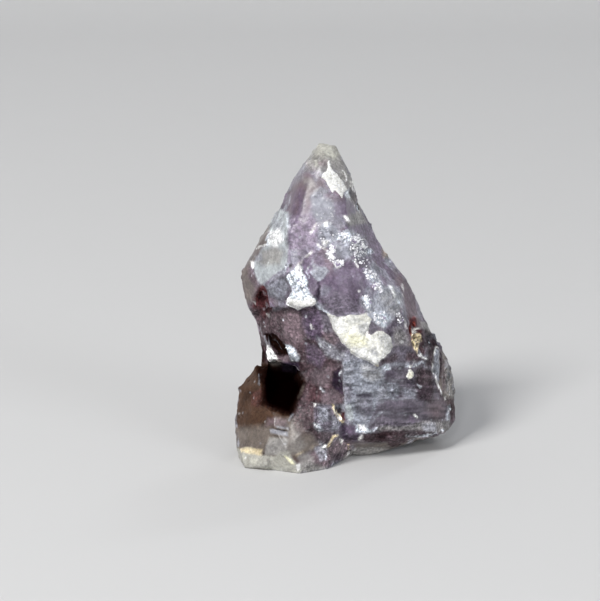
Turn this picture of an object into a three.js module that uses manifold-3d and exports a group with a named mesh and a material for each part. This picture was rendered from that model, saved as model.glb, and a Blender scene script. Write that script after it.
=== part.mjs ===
// A broken, free-standing piece of smoky amethystine quartz with thin prehnite
// coatings. It grew as one piece, so it is one closed solid. Millimetres, +Z up,
// the origin under the middle of the stone on the surface that it stands on,
// and -Y the side with the large prehnite patch.

import * as THREE from "three";
import { ConvexGeometry } from "three/addons/geometries/ConvexGeometry.js";
import { mergeVertices } from "three/addons/utils/BufferGeometryUtils.js";
import Module from "manifold-3d";

const wasm = await Module();
wasm.setup();

// ---- driving dimensions ----
const MIDDLE = new THREE.Vector3(0, 4, 25); // a point deep inside the stone
const CUT_SIZE = 120; // side of the cutting block, larger than the stone
const SCOOP_STEP = 1.8; // length of a facet in a shell-shaped fracture
const CRUST_ROOT = 2.5; // how far a crust runs down into the stone
const CRUST_DRAFT = 0.08; // how far a crust's top draws in, as a share
const PIT_CLEAR = 4; // how far a pit's cut reaches out of the stone
const PIT_DRAFT = 0.4; // how far a pit's floor draws in, as a share
const WELD = 1e-4; // corners closer than this are one

const STONE_COLOUR = 0x8d8298; // smoky lavender
const STONE_ROUGHNESS = 0.3;

// ---- helpers ----

// A closed three.js geometry as a manifold-3d solid.
function solidOf(geometry) {
  const bare = geometry.clone();
  bare.deleteAttribute("normal");
  bare.deleteAttribute("uv");
  const merged = mergeVertices(bare, WELD);
  return new wasm.Manifold(
    new wasm.Mesh({
      numProp: 3,
      vertProperties: new Float32Array(merged.attributes.position.array),
      triVerts: new Uint32Array(merged.index.array),
    }),
  );
}

// A manifold-3d solid as a three.js geometry with flat faces.
function geometryOf(solid) {
  const mesh = solid.getMesh();
  const geometry = new THREE.BufferGeometry();
  const corners = new Float32Array(mesh.numVert * 3);
  for (let i = 0; i < mesh.numVert; i++) {
    const start = i * mesh.numProp;
    corners.set(mesh.vertProperties.subarray(start, start + 3), i * 3);
  }
  geometry.setAttribute("position", new THREE.BufferAttribute(corners, 3));
  geometry.setIndex(new THREE.BufferAttribute(mesh.triVerts, 1));
  const flat = geometry.toNonIndexed();
  flat.computeVertexNormals();
  return flat;
}

// A convex block of quartz between its corners.
function block(corners) {
  return solidOf(new ConvexGeometry(corners.map((c) => new THREE.Vector3(...c))));
}

// The unit direction that a fracture faces: turn is degrees from -Y towards +X,
// rise is degrees above the horizon.
function facing(turn, rise) {
  const t = THREE.MathUtils.degToRad(turn);
  const r = THREE.MathUtils.degToRad(rise);
  return new THREE.Vector3(Math.sin(t) * Math.cos(r), -Math.cos(t) * Math.cos(r), Math.sin(r));
}

// Turns +Z to a direction.
function turnTo(direction) {
  return new THREE.Quaternion().setFromUnitVectors(new THREE.Vector3(0, 0, 1), direction);
}

// The direction that a ring of corners faces, away from the stone's middle.
function outwardOf(ring) {
  const out = new THREE.Vector3();
  ring.forEach((corner, i) => {
    const next = ring[(i + 1) % ring.length];
    out.add(new THREE.Vector3(...corner).cross(new THREE.Vector3(...next)));
  });
  out.normalize();
  const reach = new THREE.Vector3(...ring[0]).sub(MIDDLE);
  return reach.dot(out) < 0 ? out.negate() : out;
}

// The plane of a flat face, from three of its corners.
function faceThrough(...corners) {
  return new THREE.Plane().setFromNormalAndCoplanarPoint(
    outwardOf(corners),
    new THREE.Vector3(...corners[0]),
  );
}

// The plane of a flat face, from one of its points and the way it faces.
function faceAt(point, turn, rise) {
  return new THREE.Plane().setFromNormalAndCoplanarPoint(
    facing(turn, rise),
    new THREE.Vector3(...point),
  );
}

// A flat cleavage: takes off what lies outside a plane.
function cleave(stone, plane) {
  const centre = plane.projectPoint(MIDDLE, new THREE.Vector3());
  centre.addScaledVector(plane.normal, CUT_SIZE / 2);
  const waste = new THREE.BoxGeometry(CUT_SIZE, CUT_SIZE, CUT_SIZE).applyMatrix4(
    new THREE.Matrix4().compose(centre, turnTo(plane.normal), new THREE.Vector3(1, 1, 1)),
  );
  return stone.subtract(solidOf(waste));
}

// A shell-shaped (conchoidal) fracture: a shallow bowl from a ball, width across
// and depth deep, drawn out along one way.
function scoop(stone, { at, turn, rise, width, depth, long = 1, spin = 0 }) {
  const out = facing(turn, rise);
  const radius = (width * width / 4 + depth * depth) / (2 * depth);
  const centre = new THREE.Vector3(...at).addScaledVector(out, radius - depth);
  const twist = new THREE.Quaternion().setFromAxisAngle(
    new THREE.Vector3(0, 0, 1),
    THREE.MathUtils.degToRad(spin),
  );
  const rounds = 2 * Math.ceil((Math.PI * radius) / SCOOP_STEP);
  const ball = new THREE.SphereGeometry(radius, rounds, rounds / 2);
  ball.applyMatrix4(
    new THREE.Matrix4().compose(
      centre,
      turnTo(out).multiply(twist),
      new THREE.Vector3(long, 1, 1),
    ),
  );
  return stone.subtract(solidOf(ball));
}

// A convex slab over a ring of corners on a face, from one height above the face to
// another. Each end is drawn in towards the middle by a share.
function slab(ring, top, topDraft, bottom, bottomDraft) {
  const out = outwardOf(ring);
  const middle = new THREE.Vector3();
  for (const corner of ring) middle.add(new THREE.Vector3(...corner));
  middle.divideScalar(ring.length);
  const corners = [];
  for (const corner of ring) {
    const high = new THREE.Vector3(...corner).lerp(middle, topDraft);
    const low = new THREE.Vector3(...corner).lerp(middle, bottomDraft);
    corners.push(high.addScaledVector(out, top).toArray());
    corners.push(low.addScaledVector(out, bottom).toArray());
  }
  return block(corners);
}

// A crust that stands proud of a face by its thickness.
function coat(stone, { ring, thickness }) {
  return stone.add(slab(ring, thickness, CRUST_DRAFT, -CRUST_ROOT, 0));
}

// A pit that narrows towards its floor.
function pit(stone, { ring, depth }) {
  return stone.subtract(slab(ring, PIT_CLEAR, 0, -depth, PIT_DRAFT));
}

// ---- the main masses, each between its corners ----

// The tall wedge that ends in the tip and carries the large front face.
let crest = block([
  // tip
  [-6.0, 3.0, 71.4], [-2.3, 2.0, 71.1], [-5.4, -0.4, 70.6], [-2.6, 5.0, 69.5], [-4.5, -3.0, 68.4],
  // left edge, downwards
  [-11.4, 3.5, 63.8], [-12.7, -0.5, 60.6], [-24.0, 3.0, 40.5], [-23.1, 4.0, 35.0], [-20.7, 5.0, 30.2],
  // left of the front, downwards
  [-12.6, -4.4, 61.8], [-12.6, -7.9, 55.2], [-12.8, -11.4, 45.6], [-18.4, -6.6, 41.0],
  [-20.8, -3.0, 43.6], [-16.4, -8.2, 37.8], [-13.1, -10.6, 37.4], [-17.0, -3.0, 25.9],
  // middle of the front, downwards
  [-3.6, -5.0, 65.9], [-3.2, -8.5, 57.7], [-0.3, -9.7, 52.3], [3.4, -11.2, 44.8], [-6.7, -12.6, 38.0],
  [-4.3, -13.8, 36.7], [5.0, -13.8, 37.2], [7.3, -13.8, 24.4],
  // right rim of the front, downwards
  [0.2, 0.0, 66.3], [2.2, -2.5, 59.7], [5.1, -5.0, 51.2], [8.4, -6.2, 45.0], [11.4, -6.8, 37.8],
  [13.7, -6.8, 31.7], [17.6, -5.5, 23.3], [12.0, -10.4, 24.6],
  // right edge, downwards
  [1.6, 3.0, 63.1], [11.3, 5.0, 42.0], [15.9, 5.0, 35.7], [19.0, 5.0, 28.3],
  // back
  [-5.0, 9.0, 61.0], [-12.0, 9.0, 54.0], [3.5, 11.5, 51.0], [-15.0, 13.0, 42.0], [-2.0, 17.0, 40.0],
  [7.0, 15.5, 41.0], [12.0, 15.0, 32.0], [14.0, 14.5, 26.0], [-14.0, 15.0, 28.0],
]);
const crestFaces = [
  faceThrough([-12.6, -7.5, 55.2], [-12.7, -11.0, 46.0], [-20.0, -1.0, 47.0]), // pale shoulder
  faceThrough([-4.3, -13.0, 36.7], [4.5, -13.2, 36.8], [7.3, -13.4, 24.6]), // large crust's bed
  faceThrough([10.4, -11.8, 29.5], [7.5, -13.2, 24.6], [16.4, -6.8, 24.7]), // right of that crust
  faceAt([-2.7, -4.9, 63.9], 12, 30), // small bright face by the tip
  faceAt([9.5, -11.8, 30.6], 47, 14), // frosted face on the right
  faceAt([2.5, 11.6, 52.0], 150, 26), // back, right of the top
  faceAt([-9.5, 12.4, 46.0], -150, 20), // back, left of the top
  faceAt([10.5, 12.6, 36.0], 138, 20),
  faceAt([-20.6, 8.2, 40.0], -122, 12),
];
for (const face of crestFaces) crest = cleave(crest, face);

// The step under the left ledge: it takes the crest back to the waist.
crest = crest.subtract(
  block([
    [-21.8, -30.0, 33.4], [-16.4, -30.0, 37.2], [-13.1, -30.0, 37.5], [-6.8, -30.0, 38.0],
    [-4.3, -30.0, 36.8], [7.3, -30.0, 24.4], [7.3, -30.0, 10.0], [-21.8, -30.0, 10.0],
    [-21.8, 2.0, 31.4], [-16.4, -1.0, 36.2], [-13.1, -3.0, 36.6], [-6.8, -6.0, 37.2],
    [-4.3, -6.0, 36.2], [7.3, -6.0, 24.0], [7.3, -6.0, 10.0], [-21.8, 2.0, 10.0],
  ]),
);

// The mottled waist below the ledge.
const waist = block([
  [-20.6, 2.5, 33.6], [-19.4, -0.6, 33.0], [-16.8, -5.4, 37.6], [-13.0, -8.4, 38.4],
  [-6.7, -11.0, 38.6], [-3.4, -12.0, 36.2], [0.9, -12.4, 29.0], [7.3, -12.4, 24.6],
  [-18.0, -0.4, 26.2], [-16.0, -3.6, 23.0], [-11.1, -9.0, 24.3], [-9.5, -10.2, 19.6],
  [-2.2, -11.0, 24.2], [-1.6, -11.0, 15.0], [-20.0, 6.0, 28.0], [-18.0, 4.0, 18.0],
  [7.3, 4.0, 38.0], [-16.0, 6.0, 42.0], [0.4, -9.6, 10.5], [7.0, 4.0, 10.0], [-12.0, 4.0, 10.0],
]);

// The wide block low on the right, with the banded face.
let bandedBlock = block([
  [-0.8, -15.0, 26.0], [7.3, -13.0, 25.2], [17.7, -8.0, 23.4], [20.9, 0.5, 24.3], [23.5, 6.0, 19.9],
  [1.4, -11.5, 8.4], [12.3, -8.0, 7.0], [23.7, -2.0, 5.4], [24.0, -1.0, 8.6], [20.2, -2.0, 18.5],
  [24.9, 6.0, 15.6], [25.7, 6.0, 9.0], [25.6, 6.0, 5.2], [24.3, 5.5, 3.6], [19.0, 5.0, 28.3],
  [-1.0, -9.5, 7.0], [2.2, -3.5, 0.0], [6.0, -2.9, 0.0], [10.5, 1.9, 0.0], [14.8, 7.5, 0.0],
  [20.3, 10.5, 0.0], [20.0, 15.0, 10.0], [16.5, 17.8, 1.0], [13.5, 17.0, 24.0], [12.0, 16.0, 30.0],
  [10.0, 20.0, 8.0], [0.0, 10.0, 30.0],
]);
const bandedFaces = [
  faceThrough([-0.7, -14.3, 26.0], [17.7, -8.0, 22.9], [1.4, -10.9, 8.7]), // banded face
  faceThrough([8.2, -11.2, 23.4], [5.7, -9.8, 9.5], [17.7, -7.2, 22.9]), // its darker right part
  faceThrough([20.9, 1.0, 24.3], [20.2, -1.0, 18.5], [25.7, 6.0, 9.0]), // right flank
  faceAt([24.2, 10.0, 12.0], 112, 4),
  faceAt([25.4, 5.0, 5.0], 84, -16),
];
for (const face of bandedFaces) bandedBlock = cleave(bandedBlock, face);

// The glassy smoky foot low on the left.
const foot = block([
  [-20.0, 2.0, 20.2], [-24.0, 0.0, 14.9], [-25.0, -2.0, 8.4], [-24.8, -5.0, 2.4], [-24.0, -3.5, 0.0],
  [-22.8, -10.6, 0.0], [-10.2, -15.4, 0.0], [-4.1, -12.4, 0.0], [-17.8, -8.5, 18.0],
  [-9.3, -11.0, 21.0], [-12.2, -14.2, 13.3], [-12.6, -16.2, 6.0], [-2.2, -11.6, 14.2],
  [-1.4, -11.6, 8.3], [-2.0, -10.8, 20.0], [-21.0, 5.0, 0.0], [-18.0, 9.0, 14.0], [2.2, -2.5, 0.0],
]);

// The thin ledge along the bottom of the foot.
const footLedge = block([
  [-24.6, -5.5, 3.6], [-22.6, -12.4, 2.8], [-17.6, -14.6, 3.2], [-17.4, -14.8, 1.6],
  [-22.6, -11.6, 0.0], [-24.2, -4.5, 0.0], [-17.6, -13.0, 0.0], [-15.0, -6.0, 0.0], [-15.0, -6.0, 3.0],
]);

// The back of the stone, which joins the others.
let back = block([
  [-18.0, 2.0, 27.0], [-16.0, 2.0, 40.0], [-21.0, 4.0, 0.0], [-19.0, 10.0, 22.0],
  [-14.0, 17.5, 0.0], [-11.0, 19.0, 18.0], [-3.0, 21.0, 24.0], [8.0, 21.5, 12.0],
  [2.0, 21.0, 0.0], [17.0, 17.5, 0.0], [19.0, 15.0, 12.0], [14.0, 15.0, 30.0],
  [-12.0, -6.0, 26.0], [4.0, -8.0, 26.0], [4.0, -2.0, 0.0], [-12.0, -8.0, 0.0],
  [-4.0, 17.0, 40.0], [8.0, 14.0, 38.0],
]);
const backFaces = [
  faceAt([-12.5, 16.8, 8.0], -148, -6),
  faceAt([5.0, 20.4, 16.0], 168, 12),
  faceAt([14.5, 17.0, 14.0], 140, 8),
  faceAt([-8.0, 18.4, 22.0], -160, 18),
];
for (const face of backFaces) back = cleave(back, face);

let stone = crest.add(waist).add(bandedBlock).add(foot).add(footLedge).add(back);

// ---- hollow and pit ----

// The dark hollow between the waist and the foot.
stone = stone.subtract(
  block([
    [-18.2, -18.0, 24.2], [-12.0, -20.0, 24.0], [-8.8, -20.0, 20.4], [-11.6, -22.0, 13.0],
    [-18.0, -16.0, 13.6], [-18.6, -16.0, 18.0], [-17.4, 2.0, 21.5], [-11.0, 2.0, 22.0],
    [-12.4, 2.0, 15.5], [-16.5, 2.0, 15.5],
  ]),
);

const pits = [
  { // iron-stained, high on the right
    ring: [
      [14.9, -2.9, 32.4], [16.9, -0.8, 29.6], [17.6, -1.2, 27.4], [16.0, -6.3, 25.9], [14.3, -6.9, 29.3],
    ],
    depth: 2.2,
  },
  { // red, at the left end of the ledge
    ring: [
      [-18.9, -4.9, 40.0], [-17.1, -6.6, 39.0], [-17.1, -5.4, 35.0], [-19.6, -2.2, 33.8],
      [-20.3, -1.5, 36.1],
    ],
    depth: 1.6,
  },
  { // brown wedge, left of the waist
    ring: [
      [-18.2, -1.6, 29.6], [-16.4, -4.2, 28.8], [-13.6, -6.8, 24.4], [-13.4, -6.2, 22.4],
      [-15.6, -4.0, 22.8], [-17.4, -2.2, 26.2],
    ],
    depth: 1.8,
  },
];
for (const each of pits) stone = pit(stone, each);

// ---- shell-shaped fractures ----
const fractures = [
  // right edge, downwards
  { at: [7.0, 3.0, 51.4], turn: 72, rise: 27, width: 24, depth: 2.4, long: 2.4, spin: 90 },
  { at: [17.4, 2.0, 31.4], turn: 75, rise: 15, width: 7, depth: 1.0, long: 2.0, spin: 90 },
  // left edge, downwards
  { at: [-14.6, 1.0, 57.9], turn: -75, rise: 27, width: 16, depth: 1.1, long: 2.4, spin: 90 },
  { at: [-18.4, -10.2, 11.0], turn: -46, rise: 16, width: 11, depth: 0.6, long: 1.4, spin: 60 },
  // front
  { at: [-4.8, -8.0, 59.0], turn: -8, rise: 25, width: 14, depth: 0.7, long: 1.6, spin: 90 },
  { at: [-10.0, -9.8, 29.4], turn: -24, rise: -6, width: 11, depth: 0.7, long: 1.3, spin: 90 },
  { at: [-7.0, -14.4, 6.6], turn: 14, rise: 4, width: 14, depth: 0.8, long: 1.3, spin: 30 },
  // back, downwards
  { at: [-1.6, 10.8, 56.0], turn: 176, rise: 24, width: 17, depth: 1.1, long: 1.6, spin: 90 },
  { at: [-2.0, 15.8, 39.0], turn: 180, rise: 15, width: 25, depth: 1.7, long: 1.5, spin: 10 },
  { at: [7.0, 17.4, 28.0], turn: 164, rise: 17, width: 20, depth: 1.5, long: 1.6, spin: 30 },
  { at: [-11.6, 14.6, 27.0], turn: -138, rise: 14, width: 20, depth: 1.6, long: 1.5, spin: 60 },
  { at: [2.0, 20.8, 8.0], turn: 175, rise: -2, width: 22, depth: 1.4, long: 1.5, spin: 0 },
  { at: [-14.6, 15.4, 12.0], turn: -138, rise: 0, width: 15, depth: 1.0, long: 1.6, spin: 90 },
  { at: [17.4, 13.6, 20.0], turn: 128, rise: 16, width: 16, depth: 1.2, long: 1.4, spin: 90 },
  { at: [9.2, 11.2, 42.0], turn: 122, rise: 24, width: 17, depth: 1.2, long: 1.6, spin: 60 },
  { at: [-15.2, 7.2, 51.0], turn: -130, rise: 22, width: 16, depth: 1.0, long: 1.4, spin: 70 },
  { at: [-18.6, 9.6, 33.0], turn: -132, rise: 2, width: 14, depth: 1.1, long: 1.3, spin: 90 },
  { at: [-20.0, 6.6, 11.0], turn: -124, rise: 2, width: 14, depth: 1.0, long: 1.4, spin: 10 },
];
for (const fracture of fractures) stone = scoop(stone, fracture);

// ---- crusts that stand proud ----
const crusts = [
  { // large prehnite patch, upper part
    ring: [
      [-4.3, -13.0, 36.7], [-1.8, -13.1, 35.8], [5.0, -13.2, 36.6], [5.9, -13.2, 34.6],
      [5.2, -13.3, 31.0], [7.3, -13.4, 24.6], [0.7, -13.3, 28.3], [-2.4, -13.1, 32.4],
    ],
    thickness: 0.7,
  },
  { // large prehnite patch, lower right part
    ring: [
      [5.6, -13.2, 30.4], [7.4, -13.1, 31.2], [10.0, -12.1, 29.6], [10.6, -11.7, 27.6],
      [7.9, -13.0, 24.9], [6.4, -13.3, 24.9], [5.2, -13.3, 28.0],
    ],
    thickness: 0.5,
  },
  { // frosted white crust over the ledge
    ring: [
      [-10.9, -11.1, 47.1], [-10.1, -11.1, 47.2], [-8.9, -11.7, 44.5], [-6.9, -12.8, 38.6],
      [-8.6, -12.3, 38.0], [-12.6, -10.9, 38.2], [-12.0, -11.3, 40.0], [-11.2, -11.6, 44.0],
    ],
    thickness: 0.6,
  },
  { // pale square on the foot
    ring: [[-6.9, -12.9, 15.1], [-2.0, -11.9, 14.9], [-1.8, -12.2, 9.2], [-6.9, -13.7, 9.7]],
    thickness: 0.8,
  },
  { // small drop on the banded face
    ring: [[13.6, -9.2, 23.2], [15.1, -8.4, 21.3], [14.4, -8.5, 20.0], [13.2, -8.9, 20.9]],
    thickness: 0.5,
  },
];
for (const crust of crusts) stone = coat(stone, crust);

// ---- the flat ground it stands on ----
stone = cleave(stone, faceAt([0, 0, 0], 0, -90));

const geometry = geometryOf(stone);
geometry.computeBoundingBox();
const middle = geometry.boundingBox.getCenter(new THREE.Vector3());
geometry.translate(-middle.x, -middle.y, 0);

const mesh = new THREE.Mesh(
  geometry,
  new THREE.MeshStandardMaterial({
    color: STONE_COLOUR,
    roughness: STONE_ROUGHNESS,
    metalness: 0,
    flatShading: true,
  }),
);
mesh.name = "smoky_quartz";

const specimen = new THREE.Group();
specimen.name = "smoky_quartz_with_prehnite";
specimen.add(mesh);

export default specimen;
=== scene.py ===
"""Smoky quartz with prehnite: a broken, free-standing piece of lavender-grey quartz
with thin prehnite coatings, a druse of tiny crystals and a dark smoky foot.

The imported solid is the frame. The shown stone is a fine copy of it, worn, chipped and
coloured in code. Lengths inside the modelling functions are in millimetres, and the
finished meshes are in metres."""

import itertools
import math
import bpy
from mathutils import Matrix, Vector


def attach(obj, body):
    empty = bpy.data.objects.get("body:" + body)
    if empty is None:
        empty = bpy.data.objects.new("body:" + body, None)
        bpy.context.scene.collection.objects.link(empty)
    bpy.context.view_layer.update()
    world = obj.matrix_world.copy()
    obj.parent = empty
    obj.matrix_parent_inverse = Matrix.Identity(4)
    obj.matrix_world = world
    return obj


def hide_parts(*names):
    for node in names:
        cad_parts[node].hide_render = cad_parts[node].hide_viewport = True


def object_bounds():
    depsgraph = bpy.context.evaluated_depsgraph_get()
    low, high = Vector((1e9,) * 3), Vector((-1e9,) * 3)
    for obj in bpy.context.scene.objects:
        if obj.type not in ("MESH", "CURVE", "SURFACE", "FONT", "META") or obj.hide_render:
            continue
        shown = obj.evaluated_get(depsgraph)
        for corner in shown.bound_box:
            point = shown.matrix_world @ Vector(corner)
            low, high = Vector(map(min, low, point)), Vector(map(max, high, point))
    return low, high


bl_info = {
    "name": "Smoky Quartz Specimen",
    "version": (1, 0, 0),
    "blender": (4, 5, 0),
    "location": "3D View > Sidebar > Specimen",
    "description": "Builds a smoky quartz specimen with prehnite around its packed solid",
    "category": "Add Mesh",
}

import bmesh
import bpy
import numpy as np
from bpy.props import FloatProperty, FloatVectorProperty, PointerProperty
from mathutils import Matrix, Vector
from mathutils.bvhtree import BVHTree

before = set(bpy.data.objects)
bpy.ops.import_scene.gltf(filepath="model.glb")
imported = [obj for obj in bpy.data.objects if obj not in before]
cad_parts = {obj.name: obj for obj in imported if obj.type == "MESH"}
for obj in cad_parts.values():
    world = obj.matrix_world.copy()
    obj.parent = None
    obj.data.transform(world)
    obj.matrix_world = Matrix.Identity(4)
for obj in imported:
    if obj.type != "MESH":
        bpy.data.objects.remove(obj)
CAD_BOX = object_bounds()
CAD_NODE = "smoky_quartz"

MM = 0.001  # metres in a millimetre

# ---- the front drawing: a flat sheet through the middle of the stone's left half ----
# A place on it is millimetres across and up, as seen by an eye in front of the stone.
DRAWING_MIDDLE = np.array([-10.55, -2.68, 35.8])
EYE_DISTANCE = 560.0
EYE_RISE = math.radians(16.0)
EYE_LOOK = np.array([0.0, math.cos(EYE_RISE), -math.sin(EYE_RISE)])
DRAWING_UP = np.array([0.0, math.sin(EYE_RISE), math.cos(EYE_RISE)])
DRAWING_WIDTH = 135.2  # what the camera's longer side takes in, at the middle
SENSOR = 36.0

STEP = 0.225  # millimetres between two lines of the drawing


def at(*steps):
    """Places on the front drawing, from steps across and up in turn."""
    return [(STEP * right, STEP * (up + 0.5)) for right, up in zip(steps[::2], steps[1::2])]


# ---- finishes: colour, milky share, roughness, grain, glints, where it is found ----
# Colour is linear. The milky share runs from 0, clear, to 1, opaque.
FINISHES = {
    "lavender": ((0.227, 0.188, 0.250), 0.92, 0.38, 0.28, 0.05, "Body of the crest"),
    "plum": ((0.138, 0.102, 0.156), 0.88, 0.34, 0.24, 0.04, "Deeper purple zones"),
    "mauve": ((0.159, 0.117, 0.133), 0.90, 0.38, 0.22, 0.02, "Brownish purple zones"),
    "mist": ((0.296, 0.305, 0.347), 0.94, 0.42, 0.24, 0.12, "Pale blue-grey veils"),
    "mint": ((0.366, 0.392, 0.407), 0.97, 0.48, 0.20, 0.06, "Pale matte shoulder"),
    "moss": ((0.275, 0.266, 0.254), 0.94, 0.42, 0.36, 0.06, "Grey-green glassy parts"),
    "cap": ((0.402, 0.397, 0.352), 0.96, 0.42, 0.20, 0.08, "Pale tip"),
    "frost": ((0.552, 0.604, 0.658), 1.00, 0.44, 0.90, 0.40, "Frosted crystalline crust"),
    # white also stands for painted glints in a few small spots
    "white": ((0.807, 0.807, 0.791), 1.00, 0.38, 0.60, 0.20, "Bright bruises and chips"),
    "cream": ((0.823, 0.815, 0.761), 1.00, 0.48, 0.70, 0.12, "Prehnite"),
    "honey": ((0.888, 0.863, 0.591), 1.00, 0.48, 0.60, 0.06, "Yellowish heart of the prehnite"),
    "slate": ((0.235, 0.250, 0.287), 0.94, 0.40, 0.50, 0.06, "Banded blue-grey face"),
    "dusk": ((0.114, 0.100, 0.125), 0.90, 0.38, 0.34, 0.04, "Dark grey-purple facets"),
    "smoke": ((0.068, 0.037, 0.023), 0.93, 0.30, 0.12, 0.02, "Smoky brown glass of the foot"),
    "ash": ((0.150, 0.125, 0.107), 0.92, 0.34, 0.20, 0.03, "Grey translucent glass"),
    # painted shade: the near black laid inside the hollow, where only shade falls
    "hollow_shade": ((0.001, 0.000, 0.000), 1.00, 1.00, 0.20, 0.00, "Inside of the hollow"),
    "maroon": ((0.065, 0.020, 0.023), 0.98, 0.60, 0.40, 0.03, "Red recess"),
    # umber also serves as painted shade in recesses and round the hollow
    "umber": ((0.010, 0.004, 0.003), 0.98, 0.85, 0.40, 0.02, "Dark brown recesses"),
    "rust": ((0.195, 0.018, 0.002), 1.00, 0.60, 0.90, 0.02, "Iron stain"),
    "gold": ((0.716, 0.597, 0.361), 1.00, 0.50, 0.80, 0.10, "Golden-cream stain"),
    # murk also serves as painted shadow in the strip under the banded face
    "murk": ((0.056, 0.036, 0.042), 0.94, 0.48, 0.60, 0.06, "Mottled waist"),
    "night": ((0.022, 0.013, 0.027), 0.95, 0.50, 0.40, 0.03, "Darkest purple"),
}

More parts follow.
